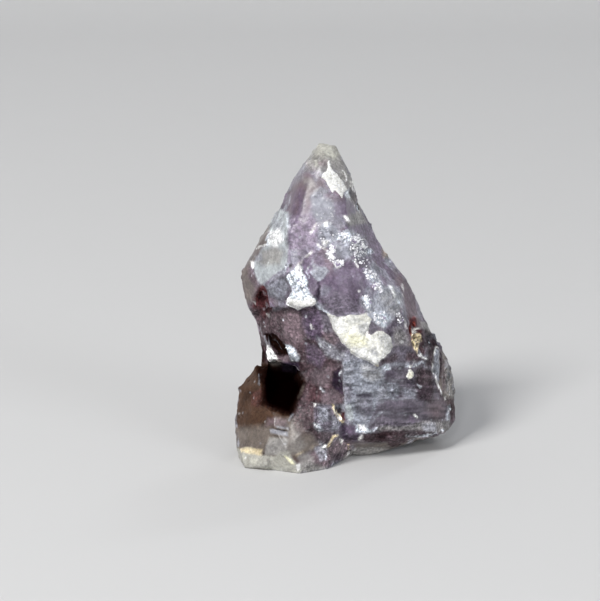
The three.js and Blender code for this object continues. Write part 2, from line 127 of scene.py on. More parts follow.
# ---- painted areas on the front drawing: finish, strength, soft edge, height, outline ----
AREAS = [
    # tip
    ("cap", 1.0, 0.5, 0.0, at(14, 156, 19, 160, 37, 159, 43, 144, 34, 140, 28, 142, 22, 140,
        12, 142)),
    ("cap", 0.9, 0.6, 0.0, at(18, 159, 28, 157, 30, 148, 24, 143, 18, 146, 16, 152)),
    ("moss", 0.7, 0.8, 0.0, at(10, 142, 18, 144, 30, 142, 34, 136, 26, 124, 14, 128, 2, 126,
        4, 136)),
    ("mauve", 0.6, 0.4, 0.0, at(18, 139, 27, 140, 27, 134, 20, 134)),
    ("cap", 0.8, 0.3, 0.1, at(14, 140, 18, 140, 18, 134, 15, 134)),
    ("moss", 0.9, 0.6, 0.0, at(30, 140, 42, 145, 48, 132, 50, 126, 44, 126, 38, 126, 31, 132)),
    ("moss", 0.9, 0.5, 0.0, at(36, 126, 44, 129, 50, 126, 58, 114, 62, 104, 62, 88, 52, 94,
        46, 102, 45, 113, 40, 120)),
    ("moss", 0.8, 0.5, 0.0, at(40, 129, 48, 130, 52, 120, 46, 117, 41, 122)),
    ("frost", 0.6, 0.4, 0.0, at(45, 110, 50, 111, 52, 105, 50, 100, 44, 103)),
    ("night", 0.6, 0.4, 0.0, at(50, 116, 54, 113, 56, 104, 53, 100, 50, 108)),
    ("murk", 0.6, 0.4, 0.0, at(53, 106, 59, 105, 61, 94, 55, 96)),
    ("cream", 0.7, 0.2, 0.1, at(50, 119, 53, 119, 53, 113, 50, 113)),
    ("mauve", 0.9, 1.2, 0.0, at(-7, 123, 3, 129, 18, 124, 18, 110, 12, 104, 6, 84, -14, 86,
        -12, 100)),
    ("moss", 0.6, 0.8, 0.0, at(3, 123, 14, 121, 17, 114, 12, 110, 4, 114)),
    ("mist", 0.6, 0.4, 0.0, at(9, 129, 14, 127, 18, 122, 17, 116, 13, 122)),
    ("plum", 0.8, 1.0, 0.0, at(-7, 108, 2, 112, 6, 100, 4, 82, -4, 78, -10, 92)),
    ("mist", 0.5, 0.9, 0.0, at(-8, 128, 2, 138, 8, 132, 1, 120, -8, 116)),
    ("mauve", 0.5, 0.7, 0.0, at(3, 116, 11, 114, 10, 96, 2, 94)),
    ("mauve", 0.7, 0.5, 0.0, at(17, 119, 23, 120, 28, 112, 28, 108, 20, 110)),
    ("mist", 0.7, 0.4, 0.05, at(20, 114, 25, 112, 30, 107, 22, 105, 12, 103, 12, 106)),
    ("mist", 0.9, 0.8, 0.0, at(11, 103, 26, 104, 34, 100, 35, 78, 18, 77, 11, 86)),
    ("mauve", 0.6, 0.8, 0.0, at(22, 107, 36, 107, 46, 100, 42, 94, 30, 100)),
    ("lavender", 0.8, 0.8, 0.0, at(34, 97, 46, 101, 55, 97, 54, 88, 45, 84, 36, 76)),
    ("plum", 0.6, 0.5, 0.0, at(42, 92, 50, 90, 48, 84, 42, 86)),
    ("mist", 0.6, 0.8, 0.0, at(34, 86, 44, 84, 47, 74, 38, 70, 33, 76)),
    ("umber", 0.8, 0.2, -0.2, at(56, 96, 59, 97, 61, 90, 58, 89)),
    ("moss", 0.9, 0.4, 0.0, at(46, 83, 52, 86, 61, 89, 68, 76, 60, 75, 49, 74, 46, 78)),
    ("lavender", 1.0, 0.8, 0.0, at(-10, 82, 12, 85, 18, 74, 16, 54, 0, 50, -10, 52)),
    ("plum", 0.6, 1.0, 0.0, at(-6, 82, 4, 86, 8, 74, 3, 64, -4, 70)),
    ("plum", 0.7, 0.6, 0.0, at(48, 74, 66, 76, 72, 66, 64, 62, 50, 65)),
    ("lavender", 0.8, 0.6, 0.0, at(66, 74, 72, 70, 84, 50, 78, 44, 70, 56)),
    ("mist", 1.0, 0.4, 0.15, at(18, 72, 22, 77, 32, 78, 38, 70, 38, 60, 32, 54, 25, 53, 20, 59)),
    ("white", 0.8, 0.25, 0.15, at(24, 77, 28, 78, 28, 73, 25, 73)),
    ("cream", 0.6, 0.3, 0.1, at(21, 60, 29, 59, 26, 54, 22, 56)),
    # left shoulder
    ("ash", 0.8, 0.5, 0.0, at(-38, 72, -30, 76, -32, 58, -38, 52, -46, 38, -50, 32, -58, 34,
        -50, 50)),
    ("mint", 1.0, 0.35, 0.1, at(-19, 92, -12, 86, -10, 74, -12, 60, -12, 42, -15, 32, -24, 26,
        -38, 15, -45, 24, -46, 38, -38, 51, -32, 57, -31, 66, -24, 80)),
    ("moss", 0.85, 0.8, 0.0, at(-38, 49, -24, 54, -16, 48, -20, 36, -34, 34, -43, 38)),
    ("mist", 0.6, 0.8, 0.0, at(-27, 79, -18, 81, -18, 71, -25, 69)),
    ("white", 0.6, 0.5, 0.05, at(-30, 68, -19, 72, -16, 59, -23, 53, -31, 56)),
    # painted glint: small white spot on the left edge
    ("white", 0.9, 0.2, 0.1, at(-50, 39, -46, 38, -46, 32, -48, 31)),
    ("mist", 0.7, 0.4, 0.0, at(-45, 44, -38, 46, -37, 40, -44, 38)),
    ("mauve", 0.9, 0.5, 0.0, at(-62, 34, -50, 34, -44, 24, -41, 12, -46, 0, -50, -7, -58, 0,
        -64, 22)),
    ("ash", 0.8, 0.7, 0.0, at(-61, 34, -52, 34, -52, 24, -46, 12, -47, 0, -54, -1, -60, 18)),
    ("umber", 0.4, 0.6, 0.0, at(-51, 30, -46, 28, -44, 16, -49, 16)),
    ("maroon", 1.0, 0.3, -0.5, at(-41, 14, -38, 16, -34, 10, -32, 0, -32, -14, -38, -22, -48, -13,
        -50, -6, -46, 3)),
    ("umber", 0.8, 0.4, -0.2, at(-42, 9, -39, 10, -38, 2, -42, -2, -47, -2, -45, 3)),
    # painted glint: small white spot by the red recess
    ("white", 0.5, 0.12, 0.1, at(-48, -1, -47, -1, -46, -5, -47, -5)),
    ("dusk", 1.0, 0.3, 0.0, at(-35, 14, -22, 24, -13, 25, -9, 15, -10, 0, -16, -3, -24, 0,
        -32, 5)),
    ("slate", 0.6, 0.6, 0.0, at(-34, 14, -21, 22, -14, 22, -12, 14, -16, 0, -30, 6)),
    # white crust over the ledge
    ("lavender", 0.9, 0.5, 0.0, at(-12, 50, 0, 48, 3, 36, -8, 32, -12, 38)),
    ("mist", 0.6, 0.4, 0.05, at(-11, 50, -3, 50, 0, 42, -4, 34, -10, 36)),
    ("umber", 0.7, 0.25, -0.1, at(-13, 35, -8, 37, -8, 33, -12, 31)),
    ("plum", 0.9, 0.4, -0.1, at(2, 38, 8, 44, 12, 34, 12, 24, 18, 8, 18, -3, 13, -2, 8, 14,
        3, 26)),
    ("frost", 1.0, 0.25, 0.3, at(-13, 24, -7, 30, -3, 34, 1, 34, 3, 27, 7, 19, 9, 11, 13, 3, 17, 0,
        17, -4, 5, -6, -1, -9, -7, -8, -14, -4, -10, 1, -8, 10, -11, 19)),
    ("mist", 0.3, 0.5, 0.0, at(-8, 12, 0, 14, 6, 10, 8, 3, 0, 2, -7, 4)),
    ("white", 1.0, 0.2, 0.35, at(-14, -3, -8, 2, 3, 0, 10, 2, 17, -1, 16, -5, 5, -6, -1, -9,
        -7, -7)),
    ("white", 0.8, 0.2, 0.1, at(-4, 34, 0, 35, 4, 24, 2, 22, -2, 25)),
    # pale lens and the purple window
    ("plum", 0.8, 0.8, 0.0, at(16, 20, 30, 26, 44, 38, 66, 38, 68, 14, 62, 2, 66, -12, 50, -14,
        36, -16, 22, -2, 17, 8)),
    ("lavender", 0.5, 0.8, 0.0, at(30, 8, 50, 12, 52, 0, 34, -4)),
    ("dusk", 0.7, 1.2, 0.0, at(22, 2, 34, 6, 52, 4, 64, -4, 64, -14, 50, -13, 40, -18, 26, -10)),
    ("night", 0.35, 0.8, 0.0, at(50, 16, 62, 20, 62, 6, 56, -6, 48, 0)),
    ("slate", 0.5, 0.6, 0.0, at(18, 10, 24, 16, 30, 12, 26, 4, 20, 2)),
    ("dusk", 0.5, 0.4, 0.0, at(7, 16, 12, 16, 15, 2, 9, 2)),
    ("plum", 0.6, 0.6, 0.0, at(0, 54, 12, 46, 10, 34, 0, 34)),
    ("dusk", 0.4, 0.5, 0.0, at(-14, 68, -10, 70, -10, 54, -14, 50)),
    ("plum", 0.5, 0.4, 0.0, at(3, 34, 9, 36, 10, 24, 6, 22)),
    ("mist", 1.0, 0.15, 0.15, at(9, 28, 14, 32, 19, 34, 25, 33, 29, 28, 23, 22, 18, 19, 13, 23)),
    ("lavender", 0.8, 0.5, 0.0, at(12, 44, 22, 46, 26, 34, 16, 35)),
    # drusy band
    ("mist", 0.8, 0.7, 0.1, at(30, 56, 42, 58, 52, 50, 50, 42, 40, 40, 32, 38, 26, 44)),
    ("frost", 0.5, 0.6, 0.1, at(38, 68, 52, 70, 66, 60, 68, 48, 58, 42, 50, 50, 42, 58)),
    ("dusk", 0.6, 0.5, 0.0, at(46, 64, 64, 60, 66, 46, 54, 44, 48, 50, 46, 58)),
    ("dusk", 0.5, 0.3, 0.0, at(34, 44, 42, 45, 46, 41, 40, 39, 34, 40)),
    ("frost", 0.8, 0.4, 0.1, at(36, 64, 46, 67, 52, 63, 50, 59, 42, 60, 37, 60)),
    ("white", 1.0, 0.15, 0.3, at(27, 45, 30, 49, 32, 54, 36, 53, 35, 48, 33, 46, 34, 42, 31, 40,
        30, 44)),
    ("white", 1.0, 0.15, 0.3, at(33, 39, 37, 37, 41, 40, 44, 38, 43, 36, 40, 35, 38, 32, 35, 34)),
    ("white", 1.0, 0.15, 0.3, at(50, 60, 53, 63, 56, 64, 58, 61, 58, 57, 54, 57, 52, 58)),
    ("night", 0.8, 0.15, 0.0, at(53, 61, 55, 61, 55, 59, 53, 59)),
    ("white", 0.9, 0.15, 0.2, at(54, 55, 57, 55, 57, 53, 55, 53)),
    ("white", 0.9, 0.15, 0.2, at(60, 55, 63, 57, 64, 53, 61, 52)),
    ("white", 0.8, 0.15, 0.2, at(54, 50, 57, 51, 58, 48, 55, 47)),
    ("frost", 0.8, 0.3, 0.1, at(67, 50, 71, 51, 73, 48, 70, 45, 67, 46)),
    ("white", 0.9, 0.15, 0.2, at(56, 36, 58, 36, 58, 33, 56, 33)),
    ("white", 0.8, 0.15, 0.2, at(58, 10, 60, 10, 60, 8, 58, 8)),
    ("frost", 0.8, 0.25, 0.15, at(64, 31, 66, 29, 68, 23, 66, 23, 64, 27)),
    ("frost", 0.8, 0.25, 0.15, at(68, 21, 72, 26, 74, 27, 75, 24, 71, 21)),
    ("frost", 0.4, 0.6, 0.1, at(62, 32, 72, 32, 84, 16, 82, 8, 74, 14, 66, 22)),
    ("white", 1.0, 0.15, 0.25, at(73, 14, 74, 17, 78, 16, 80, 12, 82, 7, 79, 9, 77, 13, 74, 12)),
    ("white", 0.8, 0.2, 0.15, at(54, 42, 56, 42, 57, 33, 54, 36)),
    ("gold", 0.4, 0.5, 0.0, at(83, 51, 87, 48, 88, 42, 84, 43)),
    ("plum", 0.6, 0.4, 0.0, at(65, 44, 74, 42, 72, 36, 66, 37)),
    # frosted face on the right
    ("mauve", 0.7, 0.8, 0.0, at(92, 34, 104, 24, 116, 6, 119, -16, 110, -18, 104, -4, 98, 14)),
    ("mist", 1.0, 0.5, 0.1, at(62, 2, 66, 5, 72, 1, 78, 10, 90, 15, 99, 12, 103, 3, 102, -6,
        95, -18, 88, -26, 84, -29, 76, -24, 70, -17, 65, -10, 61, -3)),
    ("moss", 0.5, 0.9, 0.0, at(80, 4, 92, 9, 101, 2, 101, -8, 94, -17, 86, -12)),
    ("frost", 0.8, 0.5, 0.05, at(72, -14, 82, -11, 90, -18, 85, -28, 76, -24)),
    ("frost", 0.8, 0.3, 0.1, at(62, 3, 67, 5, 70, -3, 70, -12, 66, -8)),
    ("white", 0.7, 0.3, 0.1, at(88, 14, 91, 14, 96, 4, 94, 2)),
    ("white", 0.9, 0.2, 0.1, at(97, -14, 99, -13, 100, -16, 102, -17, 101, -21, 99, -19, 97, -18)),
    ("dusk", 0.7, 0.7, 0.0, at(88, -26, 97, -16, 104, -12, 112, -22, 108, -40, 96, -44, 90, -38,
        84, -30)),
    ("moss", 0.4, 0.6, 0.0, at(92, -28, 102, -26, 102, -38, 94, -38)),
    # large prehnite patch
    ("cream", 1.0, 0.2, 0.0, at(28, -13, 36, -17, 49, -16, 66, -14, 69, -22, 67, -34, 78, -32,
        89, -39, 91, -51, 79, -61, 78, -66, 57, -57, 45, -46, 32, -28)),
    ("dusk", 1.0, 0.2, -0.3, at(68, -26, 72, -22, 78, -25, 79, -31, 71, -36, 67, -31)),
    # facets under it
    ("dusk", 1.0, 0.35, 0.0, at(92, -47, 100, -44, 112, -46, 118, -52, 126, -60, 105, -63, 88, -63,
        81, -63, 85, -56)),
    ("murk", 0.9, 0.4, 0.0, at(107, -52, 119, -52, 125, -60, 114, -63, 105, -60)),
    ("murk", 0.7, 0.3, 0.0, at(80, -61, 86, -56, 96, -52, 98, -58, 92, -64, 82, -65)),
    ("moss", 0.6, 0.5, 0.0, at(93, -33, 104, -30, 110, -38, 112, -46, 100, -45, 94, -46)),
    # iron-stained pit
    ("mauve", 0.8, 0.5, 0.0, at(105, -26, 112, -18, 121, -22, 124, -34, 122, -44, 116, -52,
        108, -40)),
    ("mauve", 0.9, 0.3, 0.0, at(116, -16, 122, -19, 122, -29, 118, -28, 116, -22)),
    ("maroon", 0.9, 0.3, -0.1, at(110, -17, 116, -18, 118, -28, 112, -28)),
    ("maroon", 1.0, 0.25, -0.3, at(110, -19, 113, -18, 115, -24, 114, -28, 112, -30, 112, -37,
        110, -35, 109, -26)),
    ("rust", 0.7, 0.15, 0.0, at(113, -23, 115, -22, 116, -27, 114, -28)),
    ("rust", 0.6, 0.15, 0.0, at(111, -26, 112, -26, 112, -34, 111, -34)),
    ("moss", 0.9, 0.3, 0.1, at(120, -21, 125, -22, 129, -28, 131, -32, 127, -36, 124, -30,
        120, -28)),
    ("murk", 0.8, 0.4, 0.0, at(121, -30, 127, -30, 128, -46, 126, -56, 122, -52, 119, -46)),
    # painted highlight: pale ring at the rim of the iron-stained pit
    ("cream", 1.0, 0.12, 0.1, at(112, -29, 117, -28, 121, -29, 117, -30, 116, -34, 112, -34)),
    ("maroon", 1.0, 0.15, -0.3, at(116, -30, 120, -29, 123, -31, 122, -35, 120, -33, 117, -35)),
    ("gold", 1.0, 0.2, 0.0, at(112, -34, 120, -34, 121, -39, 120, -44, 118, -53, 115, -49,
        111, -42)),
    ("gold", 1.0, 0.2, 0.1, at(113, -36, 117, -35, 119, -39, 116, -43, 113, -41)),
    ("rust", 0.8, 0.15, -0.1, at(111, -38, 113, -38, 113, -40, 111, -40)),
    ("umber", 0.8, 0.15, -0.1, at(120, -38, 122, -38, 121, -41, 120, -40)),
    ("umber", 0.6, 0.15, -0.1, at(117, -44, 119, -43, 119, -46, 117, -46)),
    ("umber", 0.9, 0.12, -0.1, at(112, -42, 114, -42, 115, -46, 114, -47)),
    ("umber", 0.8, 0.6, 0.0, at(127, -30, 132, -32, 139, -46, 136, -50, 130, -48, 126, -42)),
    ("umber", 0.5, 0.8, 0.0, at(124, -44, 132, -42, 136, -52, 132, -66, 122, -64, 128, -56)),
    ("murk", 0.9, 0.5, 0.0, at(127, -46, 137, -47, 134, -66, 124, -66, 127, -54)),
    ("white", 0.9, 0.15, 0.1, at(118, -54, 121, -53, 124, -56, 127, -59, 123, -58, 119, -56)),
    # banded face
    ("slate", 1.0, 0.5, 0.0, at(42, -62, 50, -60, 62, -64, 78, -67, 86, -68, 84, -80, 82, -92,
        78, -104, 72, -116, 64, -126, 56, -124, 50, -110, 45, -95, 41, -80)),
    ("dusk", 1.0, 0.6, 0.0, at(86, -68, 104, -65, 117, -66, 131, -70, 134, -80, 141, -92,
        148, -104, 151, -114, 148, -126, 130, -130, 100, -132, 64, -132, 72, -116, 79, -100,
        84, -80)),
    ("mist", 0.6, 0.6, 0.0, at(43, -66, 52, -64, 54, -74, 50, -84, 44, -80)),
    ("dusk", 0.7, 0.6, 0.0, at(41, -80, 49, -84, 52, -96, 50, -102, 45, -100)),
    ("moss", 0.5, 0.7, 0.0, at(60, -64, 80, -68, 82, -78, 72, -82, 62, -76)),
    ("dusk", 0.6, 0.5, 0.0, at(54, -98, 72, -97, 73, -112, 64, -120, 56, -112)),
    ("night", 0.8, 0.25, -0.1, at(49, -86, 52, -86, 53, -90, 50, -91)),
    ("night", 0.8, 0.3, -0.15, at(52, -93, 58, -94, 66, -92, 72, -93, 71, -97, 64, -98, 53, -97)),
    ("night", 0.5, 0.4, 0.0, at(62, -108, 72, -105, 72, -112, 66, -115)),
    ("mist", 0.8, 0.6, 0.1, at(77, -90, 84, -88, 90, -96, 88, -100, 80, -104, 75, -98)),
    ("slate", 0.8, 0.6, 0.0, at(84, -82, 98, -84, 100, -92, 96, -100, 86, -98)),
    ("slate", 0.7, 0.6, 0.0, at(102, -88, 116, -90, 116, -98, 104, -96)),
    ("lavender", 0.35, 0.9, 0.0, at(86, -102, 102, -100, 106, -110, 96, -118, 82, -112)),
    ("night", 0.5, 0.5, 0.0, at(86, -70, 96, -71, 94, -78, 86, -78)),
    ("night", 0.6, 0.5, 0.0, at(104, -80, 114, -79, 117, -85, 108, -86)),
    ("night", 0.4, 0.8, 0.0, at(84, -112, 100, -104, 118, -104, 118, -118, 90, -124)),
    ("dusk", 0.7, 0.8, 0.0, at(74, -112, 84, -108, 100, -104, 110, -108, 104, -124, 76, -123)),
    ("mauve", 0.7, 1.2, 0.0, at(128, -96, 144, -100, 148, -118, 136, -122, 126, -112)),
    ("maroon", 0.25, 1.0, 0.0, at(131, -108, 140, -108, 141, -118, 133, -119)),
    ("murk", 0.9, 0.7, 0.0, at(117, -66, 132, -70, 134, -92, 130, -102, 118, -98, 116, -80)),
    ("night", 0.4, 0.8, 0.0, at(118, -86, 130, -84, 132, -96, 124, -102, 118, -98)),
    ("mint", 1.0, 0.2, 0.05, at(45, -104, 50, -104, 53, -111, 54, -118, 51, -121, 46, -118)),
    ("slate", 0.6, 0.4, 0.0, at(56, -112, 64, -116, 60, -126, 54, -124)),
    ("mist", 1.0, 0.25, 0.1, at(61, -117, 64, -115, 67, -118, 66, -122, 61, -121)),
    ("night", 0.7, 0.3, -0.05, at(84, -123, 88, -123, 88, -127, 85, -127)),
    ("plum", 0.6, 0.3, 0.0, at(110, -116, 116, -117, 115, -121, 110, -120)),
    ("moss", 0.7, 0.5, 0.05, at(76, -126, 100, -127, 124, -121, 149, -120, 151, -128, 140, -133,
        110, -131, 80, -132)),
    ("mist", 0.7, 0.5, 0.1, at(122, -124, 134, -122, 136, -131, 124, -132)),
    ("frost", 1.0, 0.25, 0.15, at(54, -132, 58, -124, 62, -125, 67, -127, 70, -131, 66, -133,
        58, -132)),
    ("white", 0.8, 0.2, 0.15, at(58, -124, 65, -125, 67, -129, 60, -130)),
    ("frost", 0.8, 0.3, 0.1, at(80, -67, 88, -66, 91, -70, 84, -71)),
    # right flank
    ("ash", 1.0, 0.4, 0.0, at(136, -46, 146, -56, 154, -70, 158, -88, 159, -108, 152, -114,
        147, -102, 140, -90, 134, -77, 132, -66)),
    ("slate", 0.9, 0.25, 0.05, at(136, -47, 139, -50, 139, -60, 139, -80, 137, -82, 133, -76,
        132, -70, 134, -60)),
    ("murk", 1.0, 0.2, -0.15, at(139, -49, 142, -52, 142, -62, 141, -76, 140, -82, 139, -72,
        140, -62)),
    ("mauve", 0.7, 0.3, 0.0, at(142, -57, 145, -62, 147, -76, 147, -94, 142, -88, 141, -74)),
    ("moss", 0.8, 0.6, 0.0, at(146, -66, 150, -70, 156, -86, 156, -100, 150, -100, 146, -90)),
    ("murk", 0.9, 0.5, 0.0, at(146, -98, 158, -98, 158, -114, 152, -124, 148, -116, 148, -106)),
    ("murk", 0.7, 0.3, 0.0, at(134, -80, 140, -88, 146, -99, 149, -106, 142, -102, 136, -90)),
    # underside; the dark murk and umber strip under the banded face's lip is painted shadow
    ("murk", 1.0, 0.5, -0.1, at(62, -134, 72, -132, 84, -130, 102, -130, 110, -134, 106, -141,
        96, -145, 86, -143, 76, -144, 64, -141)),
    ("umber", 0.6, 0.6, 0.0, at(72, -133, 88, -132, 98, -134, 96, -140, 80, -140)),
    ("murk", 0.8, 0.3, 0.0, at(104, -130, 124, -130, 132, -133, 120, -137, 100, -144, 104, -138)),
    ("plum", 0.9, 0.4, 0.0, at(41, -125, 54, -126, 58, -134, 60, -141, 52, -143, 42, -141)),
    ("night", 0.7, 0.4, 0.0, at(41, -125, 46, -125, 45, -134, 50, -138, 60, -134, 60, -141,
        46, -142, 41, -138)),
    ("moss", 0.8, 0.6, 0.0, at(40, -146, 52, -146, 52, -154, 40, -158)),
    ("ash", 0.9, 0.4, 0.0, at(56, -146, 64, -143, 74, -143, 92, -143, 102, -142, 90, -150,
        71, -158, 54, -156)),
    ("murk", 0.9, 0.4, 0.0, at(85, -136, 104, -135, 107, -140, 99, -147, 88, -146)),
    ("moss", 0.9, 0.3, 0.05, at(40, -161, 49, -151, 60, -147, 72, -147, 90, -149, 71, -158,
        50, -159)),
    # waist
    ("murk", 1.0, 0.8, 0.0, at(-50, -9, -30, -10, -13, -6, 0, -10, 18, -6, 32, -26, 44, -46,
        42, -60, 30, -72, 0, -72, -16, -66, -38, -70, -44, -50, -42, -30)),
    ("maroon", 0.8, 0.5, 0.0, at(-44, -3, -32, -4, -32, -16, -38, -21, -42, -14)),
    ("mauve", 0.7, 0.8, 0.0, at(-16, -12, -2, -12, 6, -26, 4, -40, -6, -46, -16, -38, -20, -24)),
    ("mauve", 0.3, 0.8, 0.0, at(-36, -14, -20, -14, -20, -26, -32, -28)),
    ("murk", 0.7, 0.8, 0.0, at(-40, -18, -26, -20, -22, -36, -32, -34, -40, -28)),
    ("plum", 0.8, 0.6, 0.0, at(2, -12, 18, -9, 25, -16, 26, -30, 18, -40, 8, -37, 2, -24)),
    ("night", 0.6, 0.6, 0.0, at(6, -18, 16, -14, 24, -34, 18, -42, 8, -34)),
    ("dusk", 0.9, 0.5, 0.0, at(19, -11, 27, -15, 32, -29, 39, -39, 51, -53, 42, -52, 32, -40,
        22, -30)),
    ("mauve", 0.8, 0.5, 0.0, at(22, -32, 34, -32, 40, -42, 32, -44, 24, -38)),
    ("mist", 0.6, 0.5, 0.0, at(16, -36, 24, -40, 36, -47, 46, -56, 40, -62, 26, -56, 20, -46)),
    ("plum", 0.6, 0.7, 0.0, at(6, -42, 18, -46, 26, -58, 20, -68, 8, -62)),
    ("murk", 0.7, 0.8, 0.0, at(0, -64, 13, -66, 13, -83, 6, -84)),
    ("murk", 0.9, 0.5, 0.0, at(26, -58, 42, -61, 42, -70, 28, -72)),
    ("murk", 1.0, 0.4, 0.0, at(-42, -40, -33, -45, -33, -56, -31, -66, -38, -66, -42, -54)),
    ("umber", 0.9, 0.5, 0.0, at(-44, -46, -37, -46, -34, -54, -35, -64, -42, -62)),
    ("umber", 1.0, 0.3, -0.2, at(-36, -34, -27, -33, -21, -40, -15, -45, -12, -56, -16, -58,
        -21, -56, -26, -48, -31, -43)),
    ("mauve", 0.7, 0.4, 0.0, at(-22, -55, -10, -56, -10, -60, -17, -66, -21, -64)),
    ("frost", 0.9, 0.3, 0.05, at(-15, -45, -9, -45, -3, -51, -1, -57, -2, -60, -9, -60, -12, -54)),
    # painted glint: white wedge at the left notch above the hollow
    ("white", 1.0, 0.15, 0.15, at(-32, -45, -30, -46, -26, -53, -23, -58, -24, -61, -27, -60,
        -29, -63, -31, -59, -33, -53)),
    ("umber", 0.5, 0.5, 0.0, at(-14, -58, 0, -58, 6, -72, -4, -74, -12, -68)),
    ("ash", 0.8, 0.4, 0.0, at(-30, -61, -20, -60, -18, -66, -25, -70, -30, -67)),
    # foot
    ("smoke", 1.0, 0.8, 0.0, at(-50, -64, -32, -66, 4, -84, -8, -118, -10, -136, -38, -132,
        -68, -130, -66, -96)),
    ("smoke", 0.8, 1.0, 0.0, at(-60, -80, -48, -68, -39, -74, -38, -90, -48, -92, -60, -92)),
    ("umber", 0.4, 0.8, 0.0, at(-58, -90, -48, -89, -48, -100, -56, -102)),
    ("maroon", 0.5, 0.4, 0.0, at(-48, -92, -38, -88, -35, -102, -40, -110, -49, -106)),
    ("smoke", 0.8, 1.2, 0.0, at(-66, -106, -38, -108, -34, -126, -64, -128)),
    ("smoke", 1.0, 0.9, 0.0, at(-44, -64, -30, -64, -30, -106, -35, -108, -37, -80)),
    ("smoke", 0.9, 0.9, 0.0, at(-10, -70, 4, -84, 0, -94, -8, -112, -10, -90)),
    ("smoke", 0.9, 1.0, 0.0, at(-36, -102, -8, -104, -8, -114, -13, -120, -30, -118, -38, -111)),
    ("ash", 1.0, 1.2, 0.0, at(-66, -128, -34, -125, -12, -129, -11, -152, -38, -154, -64, -152)),
    ("ash", 0.8, 1.0, 0.0, at(-64, -137, -38, -138, -34, -146, -38, -152, -62, -150)),
    ("mauve", 0.7, 0.6, 0.0, at(-32, -118, -13, -119, -12, -128, -24, -125, -34, -126)),
    ("moss", 0.9, 0.3, 0.0, at(-34, -145, -30, -137, -12, -138, -12, -154, -35, -155)),
    ("murk", 1.0, 0.6, 0.0, at(3, -84, 16, -74, 42, -66, 44, -104, 34, -106, 15, -104, -3, -104)),
    ("murk", 1.0, 0.8, 0.0, at(-3, -102, 15, -102, 14, -132, 2, -134, -9, -120, -8, -114)),
    ("murk", 0.9, 0.8, 0.0, at(4, -84, 13, -81, 11, -98, -1, -102)),
    ("maroon", 0.35, 0.8, 0.0, at(7, -84, 20, -84, 22, -102, 8, -102)),
    ("mauve", 0.8, 0.8, 0.0, at(12, -74, 30, -68, 32, -78, 26, -86, 14, -84)),
    ("mauve", 0.8, 0.6, 0.0, at(22, -92, 40, -88, 43, -102, 34, -105, 22, -104)),
    ("ash", 0.9, 1.2, 0.0, at(-11, -120, -5, -115, -1, -124, 2, -132, 14, -135, 20, -146, 12, -151,
        -2, -157, -12, -154)),
    ("murk", 0.7, 0.6, 0.0, at(-8, -113, -2, -113, 1, -124, 2, -136, -2, -138, -7, -130)),
    ("moss", 0.5, 1.2, 0.0, at(-12, -138, -2, -136, 6, -144, 0, -154, -12, -154)),
    ("murk", 0.9, 0.6, 0.0, at(12, -130, 36, -131, 34, -136, 26, -144, 16, -140)),
    ("mauve", 1.0, 0.6, 0.0, at(0, -159, 8, -155, 18, -149, 28, -146, 29, -162, 30, -167, 16, -166,
        0, -168, -4, -163)),
    ("moss", 0.7, 0.6, 0.0, at(-3, -156, 6, -154, 14, -157, 13, -166, 0, -167)),
    ("moss", 0.9, 0.7, 0.0, at(-8, -166, 4, -162, 14, -164, 28, -168, 22, -174, 0, -177,
        -10, -171)),
    ("mist", 0.7, 0.4, 0.0, at(14, -148, 27, -145, 28, -160, 20, -162)),
    ("mauve", 0.9, 0.6, 0.0, at(28, -150, 36, -140, 52, -141, 50, -152, 40, -160, 28, -164)),
    ("night", 0.6, 0.6, 0.0, at(34, -155, 46, -150, 42, -160, 34, -164)),
    ("night", 0.9, 0.35, -0.15, at(34, -72, 40, -68, 43, -84, 42, -96, 36, -90, 32, -84)),
    ("mist", 0.6, 0.2, 0.0, at(-25, -125, -12, -127, -12, -129, -23, -128)),
    ("mist", 0.8, 0.2, 0.0, at(-30, -129, -24, -129, -13, -132, -13, -136, -24, -134, -29, -132)),
    ("umber", 0.5, 0.2, 0.0, at(-26, -159, -22, -157, -22, -161)),
    ("dusk", 1.0, 0.25, 0.0, at(14, -105, 33, -106, 36, -111, 39, -120, 38, -131, 30, -131,
        20, -131, 15, -125)),
    ("slate", 0.6, 0.5, 0.0, at(18, -107, 28, -108, 31, -120, 20, -124)),
    ("frost", 0.7, 0.3, 0.0, at(14, -123, 18, -124, 23, -130, 19, -131, 15, -128)),
    ("mist", 0.6, 0.3, 0.0, at(33, -116, 38, -119, 39, -130, 32, -130)),
    ("white", 0.9, 0.2, 0.0, at(13, -103, 16, -104, 16, -107, 14, -107)),
    ("gold", 1.0, 0.2, 0.1, at(32, -104, 35, -106, 37, -112, 43, -118, 43, -122, 39, -120,
        35, -114)),
    ("cream", 0.9, 0.15, 0.1, at(34, -110, 36, -111, 41, -119, 38, -119)),
    ("maroon", 1.0, 0.2, -0.1, at(41, -112, 44, -111, 45, -120, 42, -119)),
    ("cap", 0.9, 0.35, 0.0, at(-66, -150, -57, -148, -48, -148, -38, -155, -25, -156, -19, -151,
        -11, -150, -7, -160, 2, -170, 0, -176, -16, -172, -43, -169, -58, -170)),
    ("gold", 0.7, 0.3, 0.1, at(-61, -148, -50, -148, -38, -149, -38, -156, -48, -154, -59, -152)),
    ("white", 0.9, 0.2, 0.15, at(-5, -164, -1, -163, 0, -168, -2, -170, -4, -167)),
    ("honey", 0.8, 0.2, 0.1, at(-15, -155, -12, -156, -8, -160, -6, -164, -9, -164, -13, -159)),
    ("cream", 0.9, 0.2, 0.1, at(40, -139, 43, -140, 42, -144, 40, -144)),
    # hollow, last, because it takes up all light: its dark brown rim, black inside and dark top
    # are painted shade
    ("umber", 1.0, 0.7, 0.0, at(-45, -65, -32, -64, -16, -66, 0, -71, 6, -83, 2, -94, -3, -106,
        -8, -116, -18, -116, -32, -110, -40, -104, -39, -88, -43, -76)),
    ("hollow_shade", 1.0, 0.9, 0.0, at(-35, -70, -17, -70, -6, -76, 3, -87, -1, -96, -6, -106, -9, -113,
        -20, -111, -31, -106, -36, -98, -36, -80)),
    ("night", 1.0, 0.5, 0.0, at(-17, -61, -2, -61, -1, -68, -6, -73, -17, -71)),
]

